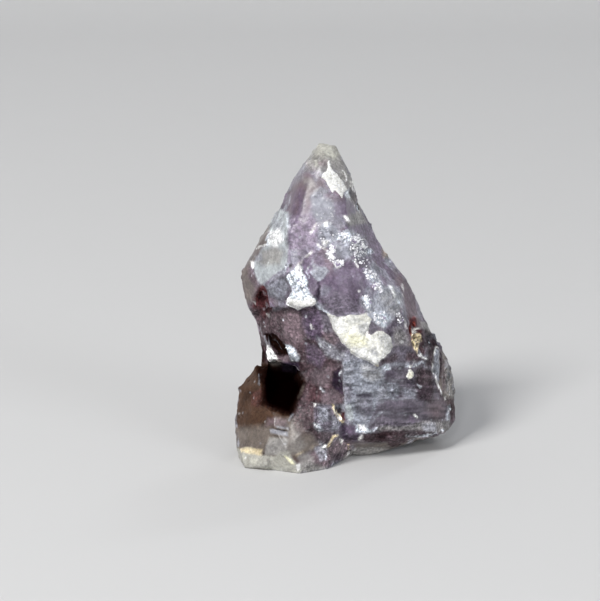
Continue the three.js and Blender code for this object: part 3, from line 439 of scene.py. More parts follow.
# ---- coarser and finer parts on the front drawing: grain, soft edge, outline ----
TEXTURES = [
    (0.14, 1.0, at(22, 24, 45, 36, 66, 36, 66, 8, 40, 4, 22, 4)),
    (0.04, 1.5, at(-10, 124, 10, 130, 18, 114, 12, 104, 46, 100, 52, 86, 34, 78, 18, 78, 12, 84,
        -10, 80, -14, 94)),
    (0.08, 0.8, at(-46, 50, -30, 56, -12, 54, -12, 40, -24, 26, -38, 16, -44, 30)),
    (0.55, 1.0, at(-38, -12, 18, -8, 26, -22, 44, -50, 30, -64, 0, -62, -14, -45, -36, -30)),
    (0.32, 0.8, at(62, 2, 78, 10, 99, 12, 103, 0, 95, -18, 84, -30, 72, -22)),
    (0.55, 0.8, at(86, -28, 98, -18, 112, -20, 110, -42, 96, -46)),
    (0.45, 1.0, at(22, 0, 36, 2, 64, 4, 64, -14, 40, -18)),
    (0.70, 0.4, at(14, -105, 33, -106, 39, -120, 38, -131, 15, -125)),
    (0.70, 0.8, at(18, -140, 52, -136, 52, -152, 26, -168, 18, -160)),
    (0.12, 1.0, at(86, -102, 140, -98, 148, -120, 130, -124, 86, -124)),
    (0.32, 1.0, at(44, -66, 80, -68, 76, -104, 62, -124, 46, -104)),
    (0.55, 0.6, at(140, -50, 156, -80, 156, -104, 144, -92)),
    (0.50, 0.6, at(70, -124, 150, -118, 151, -129, 130, -133, 72, -133)),
    (0.80, 0.5, at(104, -137, 150, -128, 140, -136, 110, -144)),
    (0.14, 0.8, at(12, 156, 38, 158, 50, 128, 30, 128, 10, 134)),
    (0.10, 1.0, at(-64, -130, -10, -126, 16, -136, 18, -148, -2, -170, -60, -170)),
]

# ---- painted lines: finish, strength, half width, height, points ----
LINES = [
    ("mauve", 0.5, 0.50, 0.0, at(0, 114, -2, 102, -4, 88)),
    ("plum", 0.6, 0.55, 0.0, at(13, 123, 5, 112, 2, 96, -3, 80)),
    ("mist", 0.7, 0.2, 0.05, at(-15, 90, -12, 97, -10, 104)),
    ("mist", 0.8, 0.25, 0.05, at(-14, 92, -12, 86, -10, 74)),
    ("cream", 0.6, 0.3, 0.1, at(16, 139, 18, 134)),
    ("white", 0.8, 0.25, 0.1, at(28, 137, 30, 130)),
    ("mist", 0.6, 0.25, 0.05, at(11, 100, 12, 104, 22, 105, 32, 107)),
    ("white", 0.7, 0.15, 0.1, at(42, 130, 46, 125, 46, 118)),
    ("mist", 0.6, 0.2, 0.05, at(41, 142, 48, 130, 54, 120)),
    ("white", 0.7, 0.2, 0.1, at(52, 119, 52, 113, 54, 109)),
    ("white", 0.6, 0.15, 0.1, at(54, 97, 55, 94)),
    ("mist", 0.6, 0.15, 0.1, at(58, 110, 59, 102, 57, 96, 61, 89)),
    ("mist", 0.5, 0.2, 0.0, at(16, 151, 10, 140, 3, 131, -6, 124, -10, 110)),
    ("umber", 0.5, 0.15, -0.1, at(49, 120, 50, 110, 53, 102, 54, 96)),
    ("frost", 0.6, 0.2, 0.1, at(58, 94, 61, 87)),
    ("white", 0.8, 0.25, 0.1, at(45, 84, 48, 79)),
    ("cream", 0.45, 0.25, 0.05, at(16, 76, 14, 71, 7, 64)),
    ("cream", 0.45, 0.25, 0.05, at(16, 58, 20, 54, 27, 50)),
    ("cream", 0.45, 0.3, 0.05, at(-1, 36, 6, 42, 12, 48)),
    ("frost", 0.4, 0.2, 0.05, at(9, 34, 6, 28, 9, 22)),
    ("white", 0.7, 0.2, 0.1, at(-43, 51, -38, 54, -32, 56)),
    ("frost", 0.6, 0.2, 0.1, at(-34, 60, -30, 66, -32, 56)),
    ("frost", 0.6, 0.2, 0.1, at(-15, 86, -12, 78, -11, 68)),
    ("frost", 0.5, 0.25, 0.05, at(-15, 46, -12, 38, -16, 28)),
    ("mist", 0.7, 0.25, 0.08, at(-16, 28, -30, 19, -38, 15)),
    ("white", 0.5, 0.2, 0.1, at(9, 11, 13, 3)),
    ("night", 0.9, 0.4, -0.25, at(18, 18, 18, -2, 15, -6)),
    ("frost", 0.6, 0.3, 0.05, at(18, -4, 24, -10, 28, -13)),
    # painted shadow: dark line under the lip of the ledge
    ("night", 0.7, 0.3, -0.2, at(-13, -6, 0, -11, 16, -8)),
    ("white", 0.8, 0.25, 0.15, at(41, 24, 45, 21)),
    ("white", 0.6, 0.25, 0.1, at(102, 14, 103, 4)),
    ("white", 0.5, 0.2, 0.1, at(103, -20, 106, -28)),
    ("white", 0.9, 0.3, 0.1, at(101, -41, 102, -42)),
    ("mist", 0.6, 0.25, 0.08, at(72, -18, 82, -12, 92, -4, 98, 4)),
    ("mist", 0.5, 0.25, 0.08, at(74, -8, 84, -2, 92, 6)),
    ("slate", 0.6, 0.25, -0.05, at(78, -20, 88, -12, 98, -4)),
    ("frost", 0.8, 0.2, 0.1, at(90, 12, 94, 7, 98, 1, 100, -3)),
    ("night", 0.7, 0.25, -0.15, at(88, -27, 96, -24, 104, -23)),
    ("white", 0.9, 0.3, 0.2, at(110, -67, 111, -64, 113, -61)),
    ("frost", 0.8, 0.3, 0.1, at(103, -66, 108, -66)),
    ("frost", 0.6, 0.2, 0.1, at(113, -67, 117, -64, 123, -62)),
    ("mist", 0.7, 0.4, 0.1, at(84, -70, 83, -80, 80, -90)),
    ("mist", 0.8, 0.35, 0.12, at(85, -96, 83, -104, 81, -111, 75, -118, 67, -126)),
    ("mist", 0.7, 0.3, 0.1, at(54, -95, 57, -103, 62, -105)),
    ("mist", 0.7, 0.3, 0.1, at(66, -105, 72, -103, 75, -97)),
    ("mist", 0.6, 0.3, 0.1, at(52, -91, 64, -90, 75, -91)),
    ("mist", 0.5, 0.25, 0.08, at(44, -70, 84, -73)),
    ("mist", 0.5, 0.25, 0.08, at(90, -87, 104, -88, 116, -90)),
    ("mist", 0.5, 0.25, 0.08, at(88, -99, 114, -98)),
    ("night", 0.8, 0.2, -0.1, at(92, -94, 98, -97, 105, -94, 109, -93)),
    ("night", 0.6, 0.2, -0.1, at(105, -89, 115, -91)),
    ("mist", 0.4, 0.25, 0.08, at(86, -79, 110, -81)),
    ("night", 0.4, 0.25, -0.08, at(46, -84, 82, -86)),
    ("mist", 0.3, 0.25, 0.08, at(80, -112, 110, -114)),
    ("night", 0.4, 0.25, -0.08, at(76, -122, 100, -124, 118, -122)),
    ("white", 0.9, 0.18, 0.1, at(115, -115, 117, -117)),
    ("frost", 0.8, 0.3, 0.1, at(70, -131, 76, -127)),
    ("frost", 0.5, 0.2, 0.1, at(118, -84, 120, -87)),
    ("white", 0.7, 0.15, 0.1, at(137, -47, 134, -58, 132, -70, 136, -82)),
    ("white", 0.8, 0.2, 0.1, at(137, -83, 141, -91, 144, -96, 146, -99)),
    # painted highlights: pale marks at the bottom right edge
    ("frost", 0.8, 0.25, 0.15, at(149, -105, 150, -110)),
    ("frost", 0.7, 0.4, 0.15, at(147, -111, 148, -119)),
    ("mist", 0.5, 0.2, 0.05, at(143, -56, 147, -62, 150, -70)),
    ("murk", 0.5, 0.15, -0.1, at(144, -70, 144, -90)),
    ("night", 0.7, 0.2, -0.15, at(140, -51, 141, -62, 140, -78)),
    ("slate", 0.6, 0.2, 0.05, at(137, -49, 144, -61, 150, -76, 153, -92)),
    ("mist", 0.4, 0.15, 0.05, at(147, -66, 148, -90)),
    # painted highlights: pale lines along the lower edge of the banded face
    ("frost", 0.6, 0.25, 0.1, at(105, -137, 116, -138, 132, -134, 144, -130)),
    ("frost", 0.7, 0.3, 0.1, at(143, -131, 149, -127)),
    ("frost", 0.5, 0.2, 0.05, at(21, -88, 25, -92)),
    ("frost", 0.8, 0.3, 0.1, at(29, -46, 35, -51)),
    ("white", 0.8, 0.2, 0.1, at(10, -25, 11, -29, 13, -29)),
    ("frost", 0.6, 0.2, 0.1, at(20, -43, 21, -46)),
    ("frost", 0.5, 0.2, 0.1, at(36, -56, 38, -58)),
    ("frost", 0.6, 0.2, 0.1, at(40, -76, 42, -70, 44, -62)),
    ("mist", 0.5, 0.2, 0.05, at(-39, -28, -36, -36, -32, -45)),
    ("ash", 0.4, 0.3, 0.1, at(3, -86, -1, -100, -7, -112)),
    ("mist", 0.5, 0.2, 0.08, at(-6, -110, -11, -120, -12, -130)),
    ("mist", 0.3, 0.2, 0.08, at(-12, -134, -12, -154)),
    ("umber", 0.8, 0.2, -0.1, at(-27, -128, -19, -130, -13, -131)),
    ("umber", 0.6, 0.2, -0.1, at(-29, -135, -21, -136, -12, -138)),
    ("umber", 0.8, 0.25, -0.2, at(-32, -143, -34, -149, -37, -155)),
    ("gold", 0.8, 0.3, 0.1, at(37, -135, 33, -137, 30, -142, 27, -147)),
    ("white", 1.0, 0.3, 0.1, at(25, -145, 22, -150)),
    ("gold", 0.2, 0.3, 0.03, at(-4, -156, 6, -150, 13, -147)),
    ("gold", 0.8, 0.2, 0.1, at(48, -144, 48, -149)),
    ("white", 0.8, 0.25, 0.1, at(43, -159, 49, -153, 56, -149)),
    ("cream", 0.8, 0.3, 0.1, at(59, -140, 62, -136)),
    ("frost", 0.4, 0.25, 0.05, at(26, -150, 27, -160)),
    ("mist", 0.35, 0.15, 0.0, at(-41, -74, -41, -86)),
    ("mist", 0.7, 0.25, 0.05, at(-60, -90, -64, -108, -64, -128, -62, -146)),
    ("white", 0.8, 0.25, 0.1, at(-60, -114, -59, -116)),
    ("white", 0.8, 0.25, 0.1, at(-34, -121, -33, -123)),
    ("white", 0.7, 0.25, 0.1, at(-35, -15, -32, -16)),
]

# ---- outlines of the crusts that lie on the stone ----
SLIVER = at(28, 141, 30, 140, 31, 133, 34, 129, 38, 125, 42, 120, 44, 116, 47, 113, 47, 110,
    44, 107, 43, 104, 44, 101, 41, 102, 38, 106, 35, 109, 33, 106, 30, 109, 27, 114, 25, 119,
    21, 122, 23, 126, 26, 129, 27, 134)
PATCH = at(27, -12, 30, -14, 36, -16, 39, -19, 42, -18, 49, -15, 60, -14, 66, -13, 73, -20,
    69, -26, 68, -31, 66, -34, 69, -36, 74, -33, 78, -30, 83, -31, 91, -37, 93, -46, 91, -52,
    82, -58, 79, -61, 79, -67, 74, -65, 66, -61, 57, -57, 50, -53, 50, -50, 45, -46, 41, -42,
    37, -34, 32, -28, 30, -21)
DROP = at(105, -76, 107, -73, 108, -69, 111, -68, 113, -71, 114, -76, 111, -80, 108, -80,
    106, -78)
LEDGE = at(-14, -3, -9, 2, -3, 0, 3, 0, 10, 2, 16, 0, 17, -4, 12, -6, 4, -7, -1, -10, -7, -8)

# ---- painted areas on the crusts: finish, strength, soft edge, outline ----
CRUST_AREAS = [
    ("white", 0.9, 0.8, at(26, -12, 33, -16, 41, -19, 46, -24, 45, -33, 38, -33, 32, -30)),
    ("mint", 0.25, 0.6, at(49, -16, 58, -15, 61, -22, 52, -26, 47, -22)),
    ("honey", 0.7, 1.2, at(45, -35, 56, -34, 66, -36, 66, -43, 60, -47, 50, -46)),
    ("mist", 0.45, 0.6, at(79, -37, 84, -33, 89, -37, 93, -43, 91, -52, 84, -54, 81, -45)),
    ("mist", 0.6, 0.5, at(59, -26, 67, -23, 69, -34, 61, -36)),
    # painted shadow: grey on the patch at the left of its right lobe
    ("mist", 0.7, 0.6, at(68, -50, 76, -49, 78, -53, 74, -57, 68, -54)),
    ("white", 1.0, 0.4, at(53, -50, 66, -47, 72, -54, 82, -57, 81, -68, 70, -67, 60, -61)),
    ("gold", 0.6, 0.3, at(76, -64, 80, -63, 80, -68, 77, -68)),
    ("honey", 0.5, 0.4, at(108, -73, 111, -72, 112, -76, 109, -78)),
]


# ---- outlines with a use of their own ----
ROUNDED = at(-6, 120, 0, 126, 14, 124, 18, 112, 14, 94, 6, 76, -10, 76, -12, 94)  # blunt ridge
BROW = at(-38, -58, 0, -58, 3, -70, -4, -73, -17, -72, -30, -70, -34, -66)  # over the hollow
BANDED = at(  # the face with growth bands
    42, -62, 86, -66, 117, -64, 134, -70, 150, -106, 147, -128, 62, -132, 49, -122, 44, -94
)

# ---- crystals: outline, how many, radius ----
DRUSE_FIELDS = [
    (at(48, 62, 52, 66, 58, 66, 66, 56, 68, 50, 62, 44, 54, 44, 50, 52), 60, 0.34),
    (at(49, 63, 56, 65, 59, 56, 50, 58), 26, 0.36),
    (at(26, 46, 31, 56, 37, 54, 35, 40, 30, 39), 34, 0.34),
    (at(32, 40, 44, 40, 44, 35, 38, 32), 26, 0.34),
    (at(36, 66, 46, 68, 50, 62, 40, 60), 20, 0.28),
    (at(62, 32, 68, 30, 76, 26, 78, 22, 68, 20, 64, 24), 40, 0.30),
    (at(71, 14, 74, 18, 80, 16, 84, 6, 79, 8, 74, 11), 30, 0.32),
    (at(62, 4, 68, 6, 72, -2, 68, -8, 62, -4), 16, 0.26),
    (at(72, -14, 84, -12, 88, -22, 80, -26, 74, -22), 22, 0.28),
    (at(96, -12, 102, -12, 104, -26, 98, -24), 14, 0.28),
    (at(18, 76, 34, 76, 34, 58, 24, 54, 18, 60), 12, 0.22),
    (at(52, 44, 66, 44, 72, 34, 56, 32), 16, 0.28),
    (at(-12, 24, 0, 32, 12, 4, -8, 2), 30, 0.24),
    (at(-15, -46, -6, -46, -2, -60, -10, -60), 12, 0.16),
]

# ---- soft patches in space: finish, strength, middle, radius, height ----
BLOBS = [
    ("cream", 1.0, (6.0, 16.0, 38.0), 3.6, 0.4),
    ("mint", 0.9, (-16.0, 3.0, 50.0), 6.0, 0.0),
    ("smoke", 0.9, (-14.0, 12.0, 14.0), 9.0, 0.0),
    ("maroon", 1.0, (15.6, -6.2, 29.2), 4.2, 0.0),
    ("rust", 0.8, (15.2, -4.6, 30.6), 2.2, 0.0),
    ("maroon", 1.0, (-18.9, -6.6, 36.8), 4.0, 0.0),
    ("umber", 1.0, (-16.1, -6.2, 25.7), 4.6, 0.0),
]

# ---- lamps: name, place, size, power, colour ----
LAMPS = [
    ("key", (-0.80, -0.95, 1.15), 0.50, 24.0, (1.0, 0.99, 0.97)),
    ("fill", (1.20, -1.00, 0.55), 0.70, 6.0, (0.96, 0.98, 1.0)),
    ("rim", (0.60, 1.00, 1.10), 0.50, 8.0, (0.95, 0.97, 1.0)),
    ("spark", (-0.20, -1.40, 0.75), 0.10, 4.0, (1.0, 1.0, 1.0)),
]
AIM_HEIGHT = 0.036  # metres; half the height of the stone

# ---- fractures: size, slope, hollowness, seed, and how much lighter some facets are ----
FACETS = [
    (6.5, 0.24, 0.030, 101, 0.22),
    (3.0, 0.34, 0.040, 102, 0.30),
    (1.4, 0.42, 0.050, 103, 0.36),
]

# ---- finishes of the body, and the share of the facets that have each: from, to ----
BODY = [
    ("plum", 0.00, 0.22),
    ("mist", 0.22, 0.42),
    ("mauve", 0.42, 0.56),
    ("slate", 0.56, 0.66),
    ("dusk", 0.66, 0.76),
]

GRAIN = 5  # where a finish's row keeps its grain
BEHIND = 3.0  # past it the faces may be larger
MOST_TRIANGLES = 196_000
SKY_RAYS = 10
SKY_REACH = 9.0
SKY_START = 0.3  # above the surface
HOLLOW_ROOM = ((-19.5, -20.0, 12.5), (-8.5, 1.0, 25.0))
UNDERSIDE = 0.05  # what is lower lies on the ground
BOX_CLEAR = np.array([0.01, 0.01, 0.0])

# rounds of evening out
WORN, SMOOTHED, WIDE, BLUNTED = 2, 30, 60, 120

# the crusts: skin kept round an outline, how far the rim dips, and how deep the base lies
CRUST_SPARE = 0.4
CRUST_DIP = 0.12
CRUST_BASE = 0.45

DRUSE_SIDES = 6
DRUSE_POINT = 0.12  # a crystal's tip, and how far up it is seated, as shares
PAPER_STEPS = 16

QUARTZ_IOR = 1.544
PREHNITE_IOR = 1.63


# ---- repeatable noise on arrays of points, in millimetres ----


def smoothstep(low, high, value):
    """0 at low, 1 at high, smooth between."""
    share = np.clip((value - low) / (high - low), 0.0, 1.0)
    return share * share * (3.0 - 2.0 * share)


def hashed(cells, seed):
    """A repeatable number from 0 to 1 for each whole-numbered cell."""
    whole = cells.astype(np.uint64)
    mixed = whole[:, 0] * np.uint64(0x9E3779B97F4A7C15)
    mixed ^= whole[:, 1] * np.uint64(0xC2B2AE3D27D4EB4F)
    mixed ^= whole[:, 2] * np.uint64(0x165667B19E3779F9)
    mixed ^= np.uint64((seed * 0x27D4EB2F165667C5) % 2**64)
    for multiplier in (0xFF51AFD7ED558CCD, 0xC4CEB9FE1A85EC53):
        mixed ^= mixed >> np.uint64(33)
        mixed *= np.uint64(multiplier)
    return (mixed >> np.uint64(40)) / 2.0**24


def noise(points, size, seed):
    """Smooth noise from -1 to 1."""
    scaled = points / size
    base = np.floor(scaled)
    part = scaled - base
    part = part**3 * (part * (part * 6.0 - 15.0) + 10.0)
    base = base.astype(np.int64)
    total = np.zeros(len(points))
    for corner in itertools.product((False, True), repeat=3):
        weight = np.prod(np.where(corner, part, 1.0 - part), axis=1)
        total += weight * hashed(base + np.array(corner, np.int64), seed)
    return 2.0 * total - 1.0


def waver(points, size, seed):
    """Two noises, which bend an outline on the front drawing."""
    return np.stack([noise(points, size, seed), noise(points, size, seed + 1)], axis=1)


def fractal(points, size, seed, octaves=4):
    """Noise with finer and finer detail, about -1 to 1."""
    total = sum(noise(points, size / 2**i, seed + i) / 2**i for i in range(octaves))
    return total / 1.4


def cells(points, size, seed):
    """Irregular cells: the distance to the nearest middle, the gap to the next one, the
    whole-numbered cell and the way from its middle, all in cell sizes."""
    scaled = points / size
    base = np.floor(scaled).astype(np.int64)
    first = np.full(len(points), 9.0)
    second = first.copy()
    owner = np.zeros((len(points), 3), np.int64)
    offset = np.zeros((len(points), 3))
    for step in itertools.product((-1, 0, 1), repeat=3):
        cell = base + np.array(step)
        middle = cell + np.stack([hashed(cell, seed + k) for k in range(3)], axis=1)
        away = np.linalg.norm(scaled - middle, axis=1)
        nearer = away < first
        second = np.where(nearer, first, np.minimum(second, away))
        first = np.where(nearer, away, first)
        owner[nearer] = cell[nearer]
        offset[nearer] = (scaled - middle)[nearer]
    return first, second - first, owner, offset


# ---- the front drawing ----


def drawing_places(points):
    """Where the eye sees points on the front drawing."""
    away = points - (DRAWING_MIDDLE - EYE_LOOK * EYE_DISTANCE)
    scale = EYE_DISTANCE / (away @ EYE_LOOK)
    return np.stack([away[:, 0] * scale, (away @ DRAWING_UP) * scale], axis=1)


def off_stretch(places, start, end):
    """Distance of places from a straight stretch."""
    along = end - start
    share = np.clip(((places - start) @ along) / (along @ along), 0.0, 1.0)
    return np.linalg.norm(places - start - share[:, None] * along, axis=1)


def inset(places, outline):
    """How far inside an outline places are. It is negative outside."""
    ring = np.array(outline)
    near = np.full(len(places), 1e9)
    inside = np.zeros(len(places), bool)
    for start, end in zip(ring, np.roll(ring, -1, axis=0)):
        near = np.minimum(near, off_stretch(places, start, end))
        if start[1] != end[1]:
            rise = places[:, 1] - start[1]
            beside = start[0] + rise * (end[0] - start[0]) / (end[1] - start[1])
            between = (start[1] > places[:, 1]) != (end[1] > places[:, 1])
            inside ^= between & (places[:, 0] < beside)
    return np.where(inside, near, -near)


def covered(places, outline, soft):
    """1 inside an outline, 0 outside, with a soft edge."""
    return smoothstep(-soft, soft, inset(places, outline))


def off_line(places, points):
    """Distance of places from a line of points."""
    line = np.array(points)
    return np.min([off_stretch(places, a, b) for a, b in zip(line, line[1:])], axis=0)


# ---- meshes as arrays ----


def points_of(mesh):
    """A mesh's corners, in millimetres."""
    points = np.empty(len(mesh.vertices) * 3)
    mesh.vertices.foreach_get("co", points)
    return points.reshape(-1, 3) / MM


def normals_of(mesh):
    """The way out at each corner."""
    normals = np.empty(len(mesh.vertices) * 3)
    mesh.vertex_normals.foreach_get("vector", normals)
    return normals.reshape(-1, 3)


def set_points(mesh, points):
    """Moves a mesh's corners to points in millimetres."""
    mesh.vertices.foreach_set("co", (points * MM).ravel())
    mesh.update()


def edges_of(mesh):
    """The two corners of each edge."""
    edges = np.empty(len(mesh.edges) * 2, np.int64)
    mesh.edges.foreach_get("vertices", edges)
    return edges.reshape(-1, 2)


def relaxed(values, edges, rounds):
    """Values evened out with their neighbours."""
    count = len(values)
    both = np.concatenate([edges, edges[:, ::-1]])
    share = np.bincount(both[:, 0], minlength=count)
    for _ in range(rounds):
        total = [np.bincount(both[:, 0], column[both[:, 1]], count) for column in values.T]
        values = 0.5 * values + 0.5 * np.stack(total, axis=1) / share[:, None]
    return values


def put_attribute(mesh, name, values):
    """Stores four numbers for each vertex."""
    layer = mesh.attributes.new(name, "FLOAT_COLOR", "POINT")
    layer.data.foreach_set("color", np.ascontiguousarray(values, np.float32).ravel())


def whole_numbers(mesh, name):
    """A whole number for each vertex, from an attribute."""
    values = np.empty(len(mesh.vertices), np.int32)
    mesh.attributes[name].data.foreach_get("value", values)
    return values


def new_piece(name, mesh, material):
    """A finished piece, which rides on the stone's body."""
    piece = bpy.data.objects.new(name, mesh)
    bpy.context.scene.collection.objects.link(piece)
    mesh.materials.clear()
    mesh.materials.append(material)
    for polygon in mesh.polygons:
        polygon.material_index = 0
    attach(piece, "root")
    return piece


def inside_box(points):
    """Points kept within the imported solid's box."""
    low, high = (np.array(corner) / MM for corner in CAD_BOX)
    return np.clip(points, low + BOX_CLEAR, high - BOX_CLEAR)


# ---- shader maths ----


class Socket:
    """A socket whose numbers can be added, multiplied and so on."""

    def __init__(self, graph, socket):
        self.graph = graph
        self.socket = socket

    def maths(self, operation, *values, clamp=False):
        """A Math node on values."""
        settings = {"operation": operation, "use_clamp": clamp}
        return self.graph.node("ShaderNodeMath", settings, dict(enumerate(values)))[0]

    def __add__(self, other):
        return self.maths("ADD", self, other)

    def __radd__(self, other):
        return self.maths("ADD", other, self)

    def __sub__(self, other):
        return self.maths("SUBTRACT", self, other)

    def __rsub__(self, other):
        return self.maths("SUBTRACT", other, self)

    def __mul__(self, other):
        return self.maths("MULTIPLY", self, other)

    def __rmul__(self, other):
        return self.maths("MULTIPLY", other, self)

    def clamped(self):
        """Kept from 0 to 1."""
        return self.maths("ADD", self, 0.0, clamp=True)

    def step(self, low, high):
        """0 below low, 1 above high, smooth between."""
        settings = {"interpolation_type": "SMOOTHSTEP"}
        values = {"Value": self, "From Min": low, "From Max": high}
        return self.graph.node("ShaderNodeMapRange", settings, values)["Result"]


class Outputs:
    """A node's output sockets, by name or number."""

    def __init__(self, graph, node):
        self.graph = graph
        self.outputs = node.outputs

    def __getitem__(self, key):
        return Socket(self.graph, self.outputs[key])


class Graph:
    """A material and its nodes."""

    def __init__(self, name):
        self.material = bpy.data.materials.new(name)
        self.material.use_nodes = True
        self.tree = self.material.node_tree
        self.tree.nodes.clear()

    def node(self, kind, settings=None, values=None):
        """A node of a kind, its settings first, and then the values or links of its sockets."""
        node = self.tree.nodes.new(kind)
        for key, value in (settings or {}).items():
            setattr(node, key, value)
        for key, value in (values or {}).items():
            if isinstance(value, Socket):
                self.tree.links.new(value.socket, node.inputs[key])
            else:
                node.inputs[key].default_value = value
        return Outputs(self, node)

    def blend(self, share, first, second, way="MIX"):
        """A mix of two colours."""
        settings = {"data_type": "RGBA", "blend_type": way}
        return self.node("ShaderNodeMix", settings, {0: share, 6: first, 7: second})[2]

    def noise(self, place, scale, detail=4.0, roughness=0.55, distortion=0.0):
        """Noise from 0 to 1. Scale is in millimetres."""
        values = {
            "Vector": place,
            "Scale": 1.0 / (scale * MM),
            "Detail": detail,
            "Roughness": roughness,
            "Distortion": distortion,
        }
        return self.node("ShaderNodeTexNoise", None, values)["Fac"]

    def grains(self, place, scale, wanted="Distance"):
        """Irregular cells. Scale is in millimetres."""
        values = {"Vector": place, "Scale": 1.0 / (scale * MM)}
        return self.node("ShaderNodeTexVoronoi", None, values)[wanted]

    def attribute(self, name):
        """What the mesh keeps under a name."""
        return self.node("ShaderNodeAttribute", {"attribute_name": name})

    def split(self, colour):
        """The three parts of a colour."""
        return self.node("ShaderNodeSeparateColor", None, {0: colour})

    def multiplied(self, first, second):
        """Two colours multiplied."""
        return self.blend(1.0, first, second, "MULTIPLY")

    def principled(self, **values):
        """A surface, from the names of its sockets with _ for a space."""
        named = {name.replace("_", " "): value for name, value in values.items()}
        return self.node("ShaderNodeBsdfPrincipled", None, named)[0]

    def mixed(self, share, first, second):
        """A mix of two surfaces."""
        return self.node("ShaderNodeMixShader", None, {0: share, 1: first, 2: second})[0]

    def bump(self, height, depth, strength=1.0):
        """Depth is in millimetres."""
        values = {"Height": height, "Distance": depth * MM, "Strength": strength}
        return self.node("ShaderNodeBump", None, values)["Normal"]

    def finish(self, surface, volume=None):
        """The material, once its surface and what fills it are linked."""
        values = {"Surface": surface}
        if volume is not None:
            values["Volume"] = volume
        self.node("ShaderNodeOutputMaterial", None, values)
        return self.material


def grey(value):
    """A grey of one strength."""
    return (value, value, value, 1.0)


def quartz_colour(graph, place, tint, grain, clouds, mottle):
    """The painted colour, clouded, mottled and broken into small flakes."""
    dim = graph.multiplied(tint, (0.55, 0.53, 0.58, 1.0))
    bright = graph.multiplied(tint, grey(1.5))
    clouded = graph.blend(clouds.step(0.3, 0.7), dim, bright)
    colour = graph.blend(0.45, tint, clouded)
    dark_grain, light_grain = (graph.multiplied(colour, grey(part)) for part in (0.45, 1.75))
    fine = graph.blend(mottle.step(0.38, 0.62), dark_grain, light_grain)
    colour = graph.blend((0.04 + 0.95 * grain).clamped(), colour, fine)
    wander = {"Vector": place, "Scale": 1.0 / (0.9 * MM)}
    ways = graph.node("ShaderNodeTexNoise", None, wander)["Color"]
    values = {0: ways, 1: (0.7 * MM, 0.7 * MM, 0.7 * MM), 2: place}
    bent = graph.node("ShaderNodeVectorMath", {"operation": "MULTIPLY_ADD"}, values)["Vector"]
    for size, low, high in ((0.95, 0.58, 1.50), (0.42, 0.62, 1.48)):
        flake = graph.split(graph.grains(bent, size, "Color"))[1]
        facet = graph.multiplied(colour, graph.blend(flake, grey(low), grey(high)))
        colour = graph.blend((0.06 + 1.0 * grain).clamped(), colour, facet)
    return colour


def quartz_material(settings):
    """Painted quartz: clear smoky glass under a milky share."""
    graph = Graph("quartz")
    place = graph.node("ShaderNodeTexCoord")["Object"]
    tint = graph.attribute("tint")["Color"]
    feel = graph.attribute("feel")
    parts = graph.split(feel["Color"])
    milk, rough, grain = parts[0], parts[1], parts[2]

    clouds = graph.noise(place, 2.4, 6.0, 0.65)
    mottle = graph.noise(place, 0.6, 4.0, 0.62, 0.5)
    speck = graph.split(graph.grains(place, 0.42, "Color"))[0]
    lit = speck.step(0.90, 0.95) * feel["Alpha"].step(0.0, 0.35)
    colour = quartz_colour(graph, place, tint, grain, clouds, mottle)
    colour = graph.blend(lit, colour, (0.9, 0.9, 0.92, 1.0))

    ripples = graph.noise(place, 1.1, 5.0, 0.6, 0.3)
    chips = graph.grains(place, 0.7)
    height = ripples * (0.12 + 0.6 * grain) + chips * grain + mottle * (0.06 + 0.5 * grain)
    normal = graph.bump(height, 0.16, 0.55)
    rough_now = (rough + (clouds - 0.5) * 0.25 - lit * 0.2).clamped()

    milky = graph.principled(
        Base_Color=colour,
        Roughness=rough_now,
        Normal=normal,
        IOR=QUARTZ_IOR,
        Specular_IOR_Level=0.3,
        Subsurface_Weight=0.25,
        Subsurface_Radius=(1.0, 0.85, 1.0),
        Subsurface_Scale=1.2 * MM,
    )
    glassy = graph.principled(
        Base_Color=graph.blend(0.3, colour, grey(1.0)),
        Roughness=rough_now * 0.6,
        Normal=normal,
        IOR=QUARTZ_IOR,
        Transmission_Weight=1.0,
    )
    matte = graph.principled(Base_Color=colour, Roughness=1.0, Specular_IOR_Level=0.0)
    light = graph.node("ShaderNodeRGBToBW", None, {0: tint})[0]
    dull = (rough.step(0.5, 0.95) + 0.7 * (1.0 - light.step(0.01, 0.10))).clamped()
    surface = graph.mixed(dull, graph.mixed(milk, glassy, milky), matte)
    depth = {"Color": (*settings.depth_colour, 1.0), "Density": settings.depth_density}
    dark = graph.node("ShaderNodeVolumeAbsorption", None, depth)[0]
    return graph.finish(surface, dark)


def prehnite_material():
    """Granular cream prehnite with a yellowish heart."""
    graph = Graph("prehnite")
    place = graph.node("ShaderNodeTexCoord")["Object"]
    tint = graph.attribute("tint")["Color"]
    grain = graph.noise(place, 0.5, 4.0, 0.6)
    pores = graph.grains(place, 0.55)
    shade = graph.multiplied(tint, (0.55, 0.54, 0.48, 1.0))
    colour = graph.blend(grain.step(0.50, 0.68) * 0.7, tint, shade)
    crumb = graph.split(graph.grains(place, 0.36, "Color"))[0]
    colour = graph.blend(0.5, colour, graph.blend(crumb, grey(0.5), grey(1.15)), "MULTIPLY")
    colour = graph.blend(pores.step(0.55, 0.9) * 0.35, colour, (1.0, 1.0, 0.98, 1.0))
    height = grain * 0.7 + (1.0 - pores) * 0.6
    surface = graph.principled(
        Base_Color=colour,
        Roughness=(0.42 + grain * 0.25).clamped(),
        Normal=graph.bump(height, 0.14, 0.6),
        IOR=PREHNITE_IOR,
        Subsurface_Weight=0.15,
        Subsurface_Radius=(1.0, 0.95, 0.7),
        Subsurface_Scale=0.8 * MM,
    )
    return graph.finish(surface)


